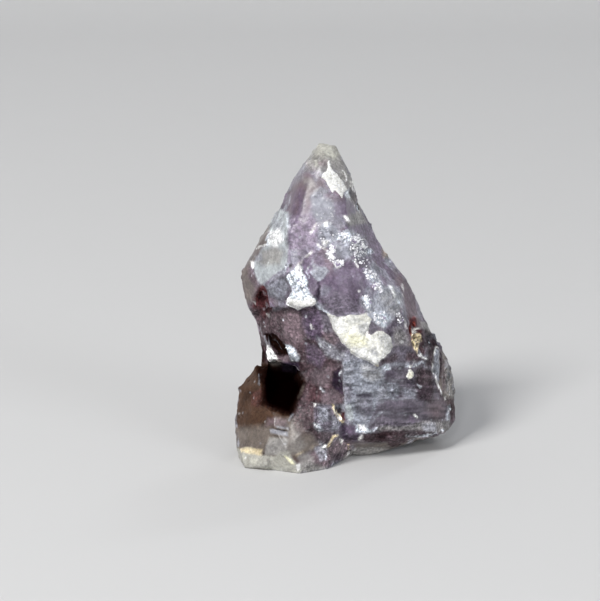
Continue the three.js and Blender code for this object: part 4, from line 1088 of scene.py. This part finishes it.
def crystal_material(settings):
    """Tiny bright quartz crystals."""
    graph = Graph("druse")
    place = graph.node("ShaderNodeTexCoord")["Object"]
    pick = graph.split(graph.grains(place, 0.8, "Color"))
    shade = (*settings.druse_colour, 1.0)
    colour = graph.blend(pick[0].step(0.05, 0.35), shade, (0.97, 0.97, 1.0, 1.0))
    solid = graph.principled(
        Base_Color=colour, Roughness=0.12 + 0.2 * pick[1], IOR=QUARTZ_IOR, Coat_Weight=0.6
    )
    clear = graph.principled(
        Base_Color=(0.9, 0.9, 0.95, 1.0), Roughness=0.05, IOR=QUARTZ_IOR, Transmission_Weight=1.0
    )
    surface = graph.mixed(0.85 + 0.15 * pick[2], clear, solid)
    return graph.finish(surface)


def paper_material(settings):
    """Plain pale paper."""
    graph = Graph("paper")
    place = graph.node("ShaderNodeTexCoord")["Object"]
    fibres = graph.noise(place, 30.0, 3.0)
    colour = graph.blend(fibres * 0.06, (*settings.paper_colour, 1.0), grey(0.5))
    return graph.finish(graph.principled(Base_Color=colour, Roughness=0.9))


# ---- the stone ----


def merged_frame():
    """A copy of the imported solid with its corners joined."""
    bm = bmesh.new()
    bm.from_mesh(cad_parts[CAD_NODE].data)
    bmesh.ops.remove_doubles(bm, verts=bm.verts[:], dist=1e-3 * MM)
    mesh = bpy.data.meshes.new("stone_blank")
    bm.to_mesh(mesh)
    bm.free()
    return mesh


def modified(mesh, kind, away=(), **values):
    """The mesh after one modifier, which may work on some of its corners only."""
    piece = bpy.data.objects.new("stone_blank", mesh)
    bpy.context.scene.collection.objects.link(piece)
    modifier = piece.modifiers.new("shape", kind)
    if len(away):
        piece.vertex_groups.new(name="away").add(away, 1.0, "REPLACE")
        modifier.vertex_group = "away"
    for key, value in values.items():
        setattr(modifier, key, value)
    graph = bpy.context.evaluated_depsgraph_get()
    result = bpy.data.meshes.new_from_object(piece.evaluated_get(graph))
    bpy.data.objects.remove(piece)
    return result


def even_mesh(blank, size):
    """The blank rebuilt with small even faces, larger ones behind."""
    even = modified(blank, "REMESH", mode="VOXEL", voxel_size=size)
    behind = np.flatnonzero(points_of(even)[:, 1] > BEHIND)
    share = min(1.0, MOST_TRIANGLES / (2.0 * len(even.polygons)))
    mesh = modified(even, "DECIMATE", behind.tolist(), ratio=share)
    bpy.data.meshes.remove(even)
    mesh.name = "quartz"
    return mesh


def settle_on(blank, points):
    """Points moved onto the blank's surface."""
    tree = solid_tree(blank)
    return np.array([tree.find_nearest(Vector(p))[0] for p in points])


def finish_rows(settings):
    """Each finish as one row: colour, milky share, roughness, grain, glints."""
    rows = {}
    for name, (_, milk, rough, grain, glint, _) in FINISHES.items():
        rows[name] = np.array([*getattr(settings, name), milk, rough, grain, glint])
    return rows


def paint(sheet, row, share):
    """Lays a finish over rows, by its share at each."""
    sheet += (row - sheet) * share[:, None]


def base_coat(points, rows, facets):
    """The stone's own colours, all the way round, which change from facet to facet."""
    sheet = np.tile(rows["lavender"], (len(points), 1))
    low = 26.0 + 3.0 * noise(points, 12.0, 11) - points[:, 2]
    left = -6.0 + 3.0 * noise(points, 9.0, 12) - points[:, 0]
    for (finish, start, end), (_, number, _) in itertools.product(BODY, facets[:2]):
        paint(sheet, rows[finish], 0.55 * ((number > start) & (number < end)))
    paint(sheet, rows["dusk"], 0.7 * smoothstep(-3.0, 3.0, low))
    paint(sheet, rows["slate"], 0.8 * smoothstep(-3.0, 3.0, low) * (facets[0][1] > 0.62))
    paint(sheet, rows["smoke"], 0.85 * smoothstep(-4.0, 6.0, low) * smoothstep(-3.0, 6.0, left))
    glassy = smoothstep(8.0, 2.0, points[:, 2]) * smoothstep(-0.3, 0.3, noise(points, 6.0, 61))
    paint(sheet, rows["ash"], glassy)
    paint(sheet, rows["cap"], 0.9 * smoothstep(66.0, 69.0, points[:, 2]))
    frosted = smoothstep(0.25, 0.5, fractal(points, 5.0, 71)) * (facets[1][1] > 0.4)
    paint(sheet, rows["mist"], 0.7 * frosted)
    return sheet


def sculpt(points, normals, facets, open_sky, rows):
    """Heights and the painted sheet for points on the stone, and how far each is seen
    by the eye."""
    sheet = base_coat(points, rows, facets)
    # painted shade: dark brown laid where little sky is seen, in recesses and hollows
    paint(sheet, rows["umber"], 0.75 * smoothstep(0.62, 0.3, open_sky))
    height = np.zeros(len(points))
    for finish, strength, centre, radius, rise in BLOBS:
        away = np.linalg.norm(points - np.array(centre), axis=1)
        away += radius * 0.45 * fractal(points, radius * 0.8, 83)
        share = smoothstep(radius, radius * 0.8, away)
        paint(sheet, rows[finish], strength * share)
        height += rise * share

    eye = DRAWING_MIDDLE - EYE_LOOK * EYE_DISTANCE
    to_eye = eye - points
    to_eye /= np.linalg.norm(to_eye, axis=1)[:, None]
    turned = np.sum(normals * to_eye, axis=1)
    past = np.clip(0.3 * noise(points, 5.0, 88), -0.05, 0.3)
    seen = smoothstep(-0.12 - past, 0.02 - past, turned)
    front = np.flatnonzero(seen > 0.0)
    shown = points[front]
    bend = waver(shown, 2.2, 91) * 0.2 + waver(shown, 0.8, 93) * 0.12
    places = drawing_places(shown) + bend
    part = sheet[front]
    rise_here = np.zeros(len(front))
    for finish, strength, soft, rise, outline in AREAS:
        share = covered(places, outline, soft) * seen[front]
        paint(part, rows[finish], strength * share)
        rise_here += rise * share
    for grain, soft, outline in TEXTURES:
        share = covered(places, outline, soft) * seen[front]
        part[:, GRAIN] += (grain - part[:, GRAIN]) * share
    broken = smoothstep(-0.45, 0.2, noise(shown, 1.5, 95))
    for finish, strength, width, rise, line in LINES:
        share = smoothstep(width * 1.6, width * 0.4, off_line(places, line)) * seen[front] * broken
        paint(part, rows[finish], strength * share)
        rise_here += rise * share
    sheet[front] = part
    height[front] += rise_here
    return height, sheet, seen


def spread(points, size, seed):
    """Three noises, which bend whatever is drawn on the points."""
    return np.stack([noise(points, size, seed + 7 * k) for k in range(3)], axis=1)


def fracture(points, size, slope, dish, seed):
    """Tilted, slightly hollow facets with steps between them, and a number for each."""
    bent = points + 0.22 * size * spread(points, size * 0.8, seed)
    first, gap, owner, offset = cells(bent, size, seed)
    tilt = np.stack([hashed(owner, seed + 40 + k) - 0.5 for k in range(3)], axis=1)
    lean = np.sum(tilt * offset, axis=1)
    return size * (slope * lean + dish * (first**2 - 0.3)), hashed(owner, seed + 50), gap


def bands(points, places):
    """Broken level streaks across the banded face."""
    flat = np.stack([points[:, 0] / 5.0, points[:, 1] / 5.0, places[:, 1] / 0.55], axis=1)
    bent = flat + 0.5 * noise(points, 3.0, 141)[:, None] * np.array([0.0, 0.0, 1.0])
    return fractal(bent, 1.0, 143, 3)


def openness(points, normals, blank):
    """Share of the sky that each point sees, from 0 to 1."""
    tree = solid_tree(blank)
    chance = np.random.default_rng(5)
    ways = chance.normal(size=(SKY_RAYS, 3))
    ways /= np.linalg.norm(ways, axis=1)[:, None]
    free = np.zeros(len(points))
    start = points + normals * SKY_START
    for way in ways:
        outward = np.where(normals @ way < 0.0, -1.0, 1.0)
        aims = way[None, :] * outward[:, None]
        rays = [(Vector(place), Vector(aim)) for place, aim in zip(start, aims)]
        free += np.array([tree.ray_cast(place, aim, SKY_REACH)[0] is None for place, aim in rays])
    return free / len(ways)


def solid_tree(blank):
    """What finds the nearest place on a mesh, and where a ray meets it."""
    corners_of = [vertex.co / MM for vertex in blank.vertices]
    return BVHTree.FromPolygons(corners_of, [face.vertices[:] for face in blank.polygons])


def flecks(points, size, rare, seed):
    """Small spots, rarer as rare nears 1."""
    away, _, owner, _ = cells(points, size, seed)
    return smoothstep(0.36, 0.16, away) * (hashed(owner, seed + 60) > rare)


def in_hollow(points):
    """1 in and around the dark hollow, 0 elsewhere."""
    low, high = (np.array(corner) for corner in HOLLOW_ROOM)
    out = np.maximum(np.maximum(low - points, points - high), 0.0)
    return smoothstep(1.5, 0.0, np.linalg.norm(out, axis=1))


def weathered(points, edges):
    """Points with their edges worn and the ridge below the tip blunted, and the same
    points evened out widely."""
    soft = relaxed(points, edges, SMOOTHED)
    sharp = np.linalg.norm(soft - points, axis=1)
    worn = relaxed(points, edges, WORN)
    points = worn + (soft - worn) * smoothstep(0.22, 0.06, sharp)[:, None]
    wide = relaxed(points, edges, WIDE)
    calm = smoothstep(-0.5, 1.0, inset(drawing_places(points), ROUNDED)) * (points[:, 1] < 0.0)
    points = points + (relaxed(wide, edges, BLUNTED) - points) * calm[:, None]
    return points, wide


def relief(points, normals, edges, facets, grain, seen):
    """Heights of the fractures and the growth bands, and how light each point is, painted
    highlights on facet borders included.
    """
    light = np.ones(len(points))
    coarse = 0.9 + (np.maximum(0.8 * grain - 0.05, 0.0) - 0.9) * seen
    steps = np.zeros(len(points))
    for (step, number, gap), (*_, vary) in zip(facets, FACETS):
        steps += step * coarse
        light *= 1.0 + vary * (number - 0.5) * (0.3 + 1.1 * grain)
        # painted highlight: lighter along the borders of some facets
        rim = smoothstep(0.05, 0.0, gap) * smoothstep(-0.2, 0.2, number - 0.5)
        light *= 1.0 + 0.25 * rim * np.clip(3.0 * grain - 0.4, 0.0, 1.0)
    height = relaxed(steps[:, None], edges, WORN)[:, 0]
    light *= 1.0 + 0.30 * fractal(points, 2.2, 231) * (0.25 + 1.5 * grain)
    light *= 1.0 + 0.35 * fractal(points, 0.8, 232, 2) * grain
    height += 0.07 * fractal(points, 0.9, 131) * (0.3 + grain)

    places = drawing_places(points)
    banded = smoothstep(-0.5, 1.0, inset(places, BANDED)) * smoothstep(0.0, 0.3, -normals[:, 1])
    band = bands(points, places)
    height += 0.16 * banded * band
    light *= 1.0 + 0.75 * banded * np.clip(band, -0.55, 0.7)
    return height, light


def specks_and_painted_shade(sheet, points, normals, grain, hollow, open_sky, rows):
    """Flecks, painted shade between the tiny crystals, and the painted shade that blackens the
    hollow.
    """
    places = drawing_places(points)
    light = flecks(points, 1.0, 0.955, 171)
    paint(sheet, rows["frost"], 0.8 * light * (0.2 + 0.8 * grain) * (1.0 - hollow))
    dark = flecks(points, 1.3, 0.94, 176)
    paint(sheet, rows["night"], 0.5 * dark * grain)
    # painted shade: darker between the tiny crystals of the druse
    between = sum(smoothstep(-0.2, 0.6, inset(places, field[0])) for field in DRUSE_FIELDS)
    between = np.clip(between, 0.0, 1.0) * smoothstep(0.0, 0.3, -normals[:, 1])
    gaps = smoothstep(0.1, 0.4, noise(points, 0.9, 181))
    paint(sheet, rows["night"], 0.5 * gaps * between * (sheet[:, 0] < 0.45))
    # painted shade: the hollow blackened where little sky is seen, except under the brow
    brow = covered(places, BROW, 0.5)
    paint(sheet, rows["hollow_shade"], smoothstep(0.5, 0.28, open_sky) * hollow * (1.0 - brow))


def build_stone(settings):
    """The quartz: a worn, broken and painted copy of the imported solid."""
    blank = merged_frame()
    mesh = even_mesh(blank, settings.face_size)
    edges = edges_of(mesh)
    points, wide = weathered(settle_on(blank, points_of(mesh)), edges)
    set_points(mesh, points)
    normals = normals_of(mesh)
    ridge = np.sum((points - wide) * normals, axis=1)
    open_sky = relaxed(openness(points, normals, blank)[:, None], edges, 6)[:, 0]
    bpy.data.meshes.remove(blank)

    rows = finish_rows(settings)
    facets = [fracture(points, *facet[:4]) for facet in FACETS]
    height, sheet, seen = sculpt(points, normals, facets, open_sky, rows)
    grain = sheet[:, GRAIN].copy()
    broken, light = relief(points, normals, edges, facets, grain, seen)
    height += broken
    hollow = in_hollow(points)

    chip = smoothstep(0.1, 0.5, ridge) * smoothstep(0.0, 0.6, noise(points, 2.4, 151))
    chip *= 1.0 - seen * smoothstep(0.22, 0.08, grain)
    height -= 0.5 * chip
    bruise = smoothstep(0.16, 0.42, ridge) * smoothstep(-0.3, 0.5, noise(points, 1.6, 161))
    bruise *= (1.0 - hollow) * np.clip(3.0 * grain - 0.4, 0.15, 1.0)
    paint(sheet, rows["mist"], 0.4 * bruise)
    # the facets' random tone, the painted highlights on their borders and the growth bands, laid
    # into the colour
    sheet[:, :3] *= np.clip(light, 0.35, 1.9)[:, None]
    specks_and_painted_shade(sheet, points, normals, grain, hollow, open_sky, rows)

    foot = smoothstep(UNDERSIDE, 0.8, points[:, 2])
    moved = points + normals * (height * foot)[:, None]
    moved[:, 2] = np.where(points[:, 2] < UNDERSIDE, 0.0, np.maximum(moved[:, 2], 0.0))
    set_points(mesh, inside_box(moved))
    put_attribute(mesh, "tint", np.column_stack([sheet[:, :3], np.ones(len(sheet))]))
    put_attribute(mesh, "feel", sheet[:, 3:])
    mesh.shade_smooth()
    stone = new_piece("quartz", mesh, quartz_material(settings))
    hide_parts(CAD_NODE)


# ---- the crusts ----


def islands(bm):
    """The corners of each joined part of a mesh."""
    found, seen = [], set()
    for start in bm.verts:
        if start not in seen:
            island, fresh = {start}, [start]
            while fresh:
                near = [e.other_vert(v) for v in fresh for e in v.link_edges]
                fresh = list({v for v in near if v not in island})
                island.update(fresh)
            seen |= island
            found.append(island)
    return found


def cut_out(stone, outline, spare):
    """The part of the stone's surface inside an outline, with finer faces."""
    bm = bmesh.new()
    bm.from_mesh(stone.data)
    points = points_of(stone.data)
    facing = normals_of(stone.data) @ EYE_LOOK < 0.25
    keep = (inset(drawing_places(points), outline) > -spare) & facing
    bm.verts.ensure_lookup_table()
    outside = [face for face in bm.faces if not all(keep[v.index] for v in face.verts)]
    bmesh.ops.delete(bm, geom=outside, context="FACES")
    while pinched := [v for v in bm.verts if sum(e.is_boundary for e in v.link_edges) > 2]:
        bmesh.ops.delete(bm, geom=pinched, context="VERTS")
    crumbs = sorted(islands(bm), key=len)[:-1]
    bmesh.ops.delete(bm, geom=[v for crumb in crumbs for v in crumb], context="VERTS")
    bmesh.ops.subdivide_edges(bm, edges=bm.edges[:], cuts=1, use_grid_fill=True)
    return bm


def build_crust(name, stone, outline, thickness, finish, settings):
    """A thin closed crust that lies on the stone and dips under at its edges."""
    bm = cut_out(stone, outline, CRUST_SPARE)
    mesh = bpy.data.meshes.new(name)
    bm.to_mesh(mesh)
    points = points_of(mesh)
    normals = relaxed(normals_of(mesh), edges_of(mesh), 4)
    normals /= np.linalg.norm(normals, axis=1)[:, None]
    bend = 0.22 * waver(points, 1.1, 301)
    body = smoothstep(-0.05, 0.32, inset(drawing_places(points) + bend, outline))
    lumps = (0.5 - cells(points, 0.75, 311)[0]) * 0.16 + 0.05 * fractal(points, 0.5, 321)
    top = (thickness + lumps) * body - CRUST_DIP
    rows = finish_rows(settings)
    sheet = np.tile(rows[finish], (len(points), 1))
    places = drawing_places(points) + 2.0 * bend
    for part, strength, soft, area in CRUST_AREAS:
        paint(sheet, rows[part], strength * covered(places, area, soft))
    patchy = smoothstep(0.0, 0.6, fractal(points, 1.8, 331))
    sheet[:, :3] *= (1.0 - 0.3 * patchy)[:, None]

    source = bm.verts.layers.int.new("source")
    lid = bm.verts.layers.int.new("lid")
    for vert in bm.verts:
        vert[source] = vert.index
    skin = bm.faces[:]
    raised = bmesh.ops.extrude_face_region(bm, geom=skin, use_keep_orig=True)
    bmesh.ops.reverse_faces(bm, faces=skin)
    for vert in raised["geom"]:
        if isinstance(vert, bmesh.types.BMVert):
            vert[lid] = 1
    bm.to_mesh(mesh)
    bm.free()
    source = whole_numbers(mesh, "source")
    rise = np.where(whole_numbers(mesh, "lid") == 1, top[source], -CRUST_BASE)
    set_points(mesh, points[source] + normals[source] * rise[:, None])
    bm = bmesh.new()
    bm.from_mesh(mesh)
    bmesh.ops.recalc_face_normals(bm, faces=bm.faces[:])
    bm.to_mesh(mesh)
    bm.free()
    for layer in ("tint", "feel", "source", "lid"):
        mesh.attributes.remove(mesh.attributes[layer])
    put_attribute(mesh, "tint", np.column_stack([sheet[source, :3], np.ones(len(source))]))
    mesh.shade_smooth()
    material = bpy.data.materials.get("prehnite") or prehnite_material()
    new_piece(name, mesh, material)


# ---- the druse ----


def build_druse(stone, settings):
    """Tiny six-sided crystals, each set into the stone."""
    chance = np.random.default_rng(17)
    points = points_of(stone.data)
    normals = normals_of(stone.data)
    places = drawing_places(points)
    facing = normals @ EYE_LOOK < -0.1
    bm = bmesh.new()
    for outline, count, size in DRUSE_FIELDS:
        within = np.flatnonzero((inset(places, outline) > 0.0) & facing)
        for index in chance.choice(within, min(count, len(within)), replace=False):
            radius = size * chance.uniform(0.6, 1.4)
            lean = Vector(normals[index]) + Vector(chance.normal(0.0, 0.35, 3))
            turn = lean.to_track_quat("Z", "Y").to_matrix().to_4x4()
            spin = Matrix.Rotation(chance.uniform(0.0, math.pi), 4, "Z")
            long = radius * chance.uniform(1.4, 2.4)
            seat = Vector(points[index]) + lean.normalized() * (long * DRUSE_POINT)
            bmesh.ops.create_cone(
                bm,
                cap_ends=True,
                segments=DRUSE_SIDES,
                radius1=radius * MM,
                radius2=radius * DRUSE_POINT * MM,
                depth=long * MM,
                matrix=Matrix.Translation(seat * MM) @ turn @ spin,
            )
    mesh = bpy.data.meshes.new("druse")
    bm.to_mesh(mesh)
    bm.free()
    set_points(mesh, inside_box(points_of(mesh)))
    new_piece("druse", mesh, crystal_material(settings))


# ---- the stage ----


def build_stage(settings):
    """A pale sheet of paper that curves up behind, soft lights and the camera."""
    bm = bmesh.new()
    bend = settings.bend_radius
    back = settings.floor_depth
    profile = [(-back, 0.0), (back - bend, 0.0)]
    for i in range(1, PAPER_STEPS + 1):
        turn = math.pi / 2 * i / PAPER_STEPS
        profile.append((back - bend + bend * math.sin(turn), bend - bend * math.cos(turn)))
    profile.append((back, settings.wall_height))
    half = settings.floor_width / 2
    verts = [bm.verts.new((-half, y, z)) for y, z in profile]
    edges = [bm.edges.new(pair) for pair in zip(verts, verts[1:])]
    swept = bmesh.ops.extrude_edge_only(bm, edges=edges)
    moved = [v for v in swept["geom"] if isinstance(v, bmesh.types.BMVert)]
    bmesh.ops.translate(bm, verts=moved, vec=(2 * half, 0.0, 0.0))
    bmesh.ops.recalc_face_normals(bm, faces=bm.faces[:])
    mesh = bpy.data.meshes.new("paper")
    bm.to_mesh(mesh)
    bm.free()
    mesh.shade_smooth()
    paper = bpy.data.objects.new("paper", mesh)
    bpy.context.scene.collection.objects.link(paper)
    mesh.materials.append(paper_material(settings))

    aim = Vector((0.0, 0.0, AIM_HEIGHT))
    for name, place, size, power, colour in LAMPS:
        lamp = bpy.data.lights.new(name, "AREA")
        lamp.shape = "DISK"
        lamp.size = size
        lamp.energy = power * settings.light
        lamp.color = colour
        holder = bpy.data.objects.new(name, lamp)
        bpy.context.scene.collection.objects.link(holder)
        holder.location = place
        holder.rotation_euler = (aim - Vector(place)).to_track_quat("-Z", "Y").to_euler()

    world = bpy.data.worlds.new("studio")
    bpy.context.scene.world = world
    world.use_nodes = True
    background = world.node_tree.nodes["Background"]
    background.inputs["Color"].default_value = (0.93, 0.95, 1.0, 1.0)
    background.inputs["Strength"].default_value = settings.room_light

    camera = bpy.data.cameras.new("camera")
    camera.sensor_width = SENSOR
    camera.lens = SENSOR * EYE_DISTANCE / DRAWING_WIDTH
    camera.clip_start = 0.01
    camera.clip_end = 20.0
    eye = bpy.data.objects.new("camera", camera)
    bpy.context.scene.collection.objects.link(eye)
    look = Vector(EYE_LOOK)
    eye.location = (Vector(DRAWING_MIDDLE) - look * EYE_DISTANCE) * MM
    eye.rotation_euler = look.to_track_quat("-Z", "Y").to_euler()
    bpy.context.scene.camera = eye
    bpy.context.scene.view_settings.view_transform = "Standard"


# ---- settings, operators and panel ----


class StoneSettings(bpy.types.PropertyGroup):
    """Sizes and colours of the stone"""

    face_size: FloatProperty(
        name="Face size",
        description="Length of a face of the fine mesh",
        default=0.31 * MM,
        unit="LENGTH",
    )
    depth_colour: FloatVectorProperty(
        name="Depth colour",
        description="Colour of the light that passes through the glass",
        default=(0.60, 0.50, 0.58),
        subtype="COLOR",
    )
    depth_density: FloatProperty(
        name="Depth density",
        description="How fast the glass darkens with depth",
        default=220.0,
        min=0.0,
    )
    crust_thickness: FloatProperty(
        name="Crust thickness",
        description="How far the prehnite stands proud of the quartz",
        default=0.35 * MM,
        unit="LENGTH",
    )
    druse_colour: FloatVectorProperty(
        name="Druse colour",
        description="Colour of the tiny crystals",
        default=(0.35, 0.30, 0.42),
        subtype="COLOR",
    )


for _name, _finish in FINISHES.items():
    StoneSettings.__annotations__[_name] = FloatVectorProperty(
        name=_name.capitalize(),
        description=_finish[5],
        default=_finish[0],
        subtype="COLOR",
        min=0.0,
        max=1.0,
    )


class StageSettings(bpy.types.PropertyGroup):
    """Sizes and light of the stage"""

    floor_width: FloatProperty(
        name="Floor width",
        description="Width of the paper",
        default=2.4,
        unit="LENGTH",
    )
    floor_depth: FloatProperty(
        name="Floor depth",
        description="How far the paper reaches in front and behind",
        default=0.9,
        unit="LENGTH",
    )
    wall_height: FloatProperty(
        name="Wall height",
        description="Height of the paper behind",
        default=1.2,
        unit="LENGTH",
    )
    bend_radius: FloatProperty(
        name="Bend radius",
        description="Radius of the paper's curve",
        default=0.35,
        unit="LENGTH",
    )
    paper_colour: FloatVectorProperty(
        name="Paper colour",
        description="Colour of the floor and the backdrop",
        default=(0.60, 0.60, 0.60),
        subtype="COLOR",
    )
    light: FloatProperty(
        name="Light",
        description="Strength of all lamps",
        default=1.0,
        min=0.0,
    )
    room_light: FloatProperty(
        name="Room light",
        description="Strength of the even light from all sides",
        default=0.35,
        min=0.0,
    )


class SPECIMEN_OT_stone(bpy.types.Operator):
    """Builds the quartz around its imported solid"""

    bl_idname = "specimen.stone"
    bl_label = "Quartz"

    def execute(self, context):
        build_stone(context.scene.stone_settings)
        return {"FINISHED"}


class SPECIMEN_OT_prehnite(bpy.types.Operator):
    """Lays the prehnite crusts on the quartz"""

    bl_idname = "specimen.prehnite"
    bl_label = "Prehnite crusts"

    def execute(self, context):
        settings = context.scene.stone_settings
        stone = bpy.data.objects["quartz"]
        thick = settings.crust_thickness / MM
        build_crust("prehnite_patch", stone, PATCH, thick, "cream", settings)
        build_crust("prehnite_sliver", stone, SLIVER, thick, "white", settings)
        build_crust("prehnite_drop", stone, DROP, thick, "cream", settings)
        build_crust("prehnite_ledge", stone, LEDGE, thick, "white", settings)
        return {"FINISHED"}


class SPECIMEN_OT_druse(bpy.types.Operator):
    """Sets the tiny crystals into the quartz"""

    bl_idname = "specimen.druse"
    bl_label = "Druse"

    def execute(self, context):
        build_druse(bpy.data.objects["quartz"], context.scene.stone_settings)
        return {"FINISHED"}


class SPECIMEN_OT_stage(bpy.types.Operator):
    """Sets up the paper, the lamps and the camera"""

    bl_idname = "specimen.stage"
    bl_label = "Stage"

    def execute(self, context):
        build_stage(context.scene.stage_settings)
        return {"FINISHED"}


OPERATORS = (SPECIMEN_OT_stone, SPECIMEN_OT_prehnite, SPECIMEN_OT_druse, SPECIMEN_OT_stage)


class SPECIMEN_PT_panel(bpy.types.Panel):
    """Lists the specimen's pieces"""

    bl_idname = "SPECIMEN_PT_panel"
    bl_label = "Smoky quartz"
    bl_space_type = "VIEW_3D"
    bl_region_type = "UI"
    bl_category = "Specimen"

    def draw(self, context):
        for operator in OPERATORS:
            self.layout.operator(operator.bl_idname)
        for group in (context.scene.stone_settings, context.scene.stage_settings):
            for name in group.__annotations__:
                self.layout.prop(group, name)


CLASSES = (StoneSettings, StageSettings, *OPERATORS, SPECIMEN_PT_panel)


def register():
    """Adds the classes and the scene's settings."""
    for each in CLASSES:
        bpy.utils.register_class(each)
    bpy.types.Scene.stone_settings = PointerProperty(type=StoneSettings)
    bpy.types.Scene.stage_settings = PointerProperty(type=StageSettings)


def unregister():
    """Takes them away again."""
    del bpy.types.Scene.stage_settings
    del bpy.types.Scene.stone_settings
    for each in reversed(CLASSES):
        bpy.utils.unregister_class(each)


def main():
    """Builds every piece."""
    register()
    bpy.ops.specimen.stone()
    bpy.ops.specimen.prehnite()
    bpy.ops.specimen.druse()
    bpy.ops.specimen.stage()


if __name__ == "__main__":
    main()
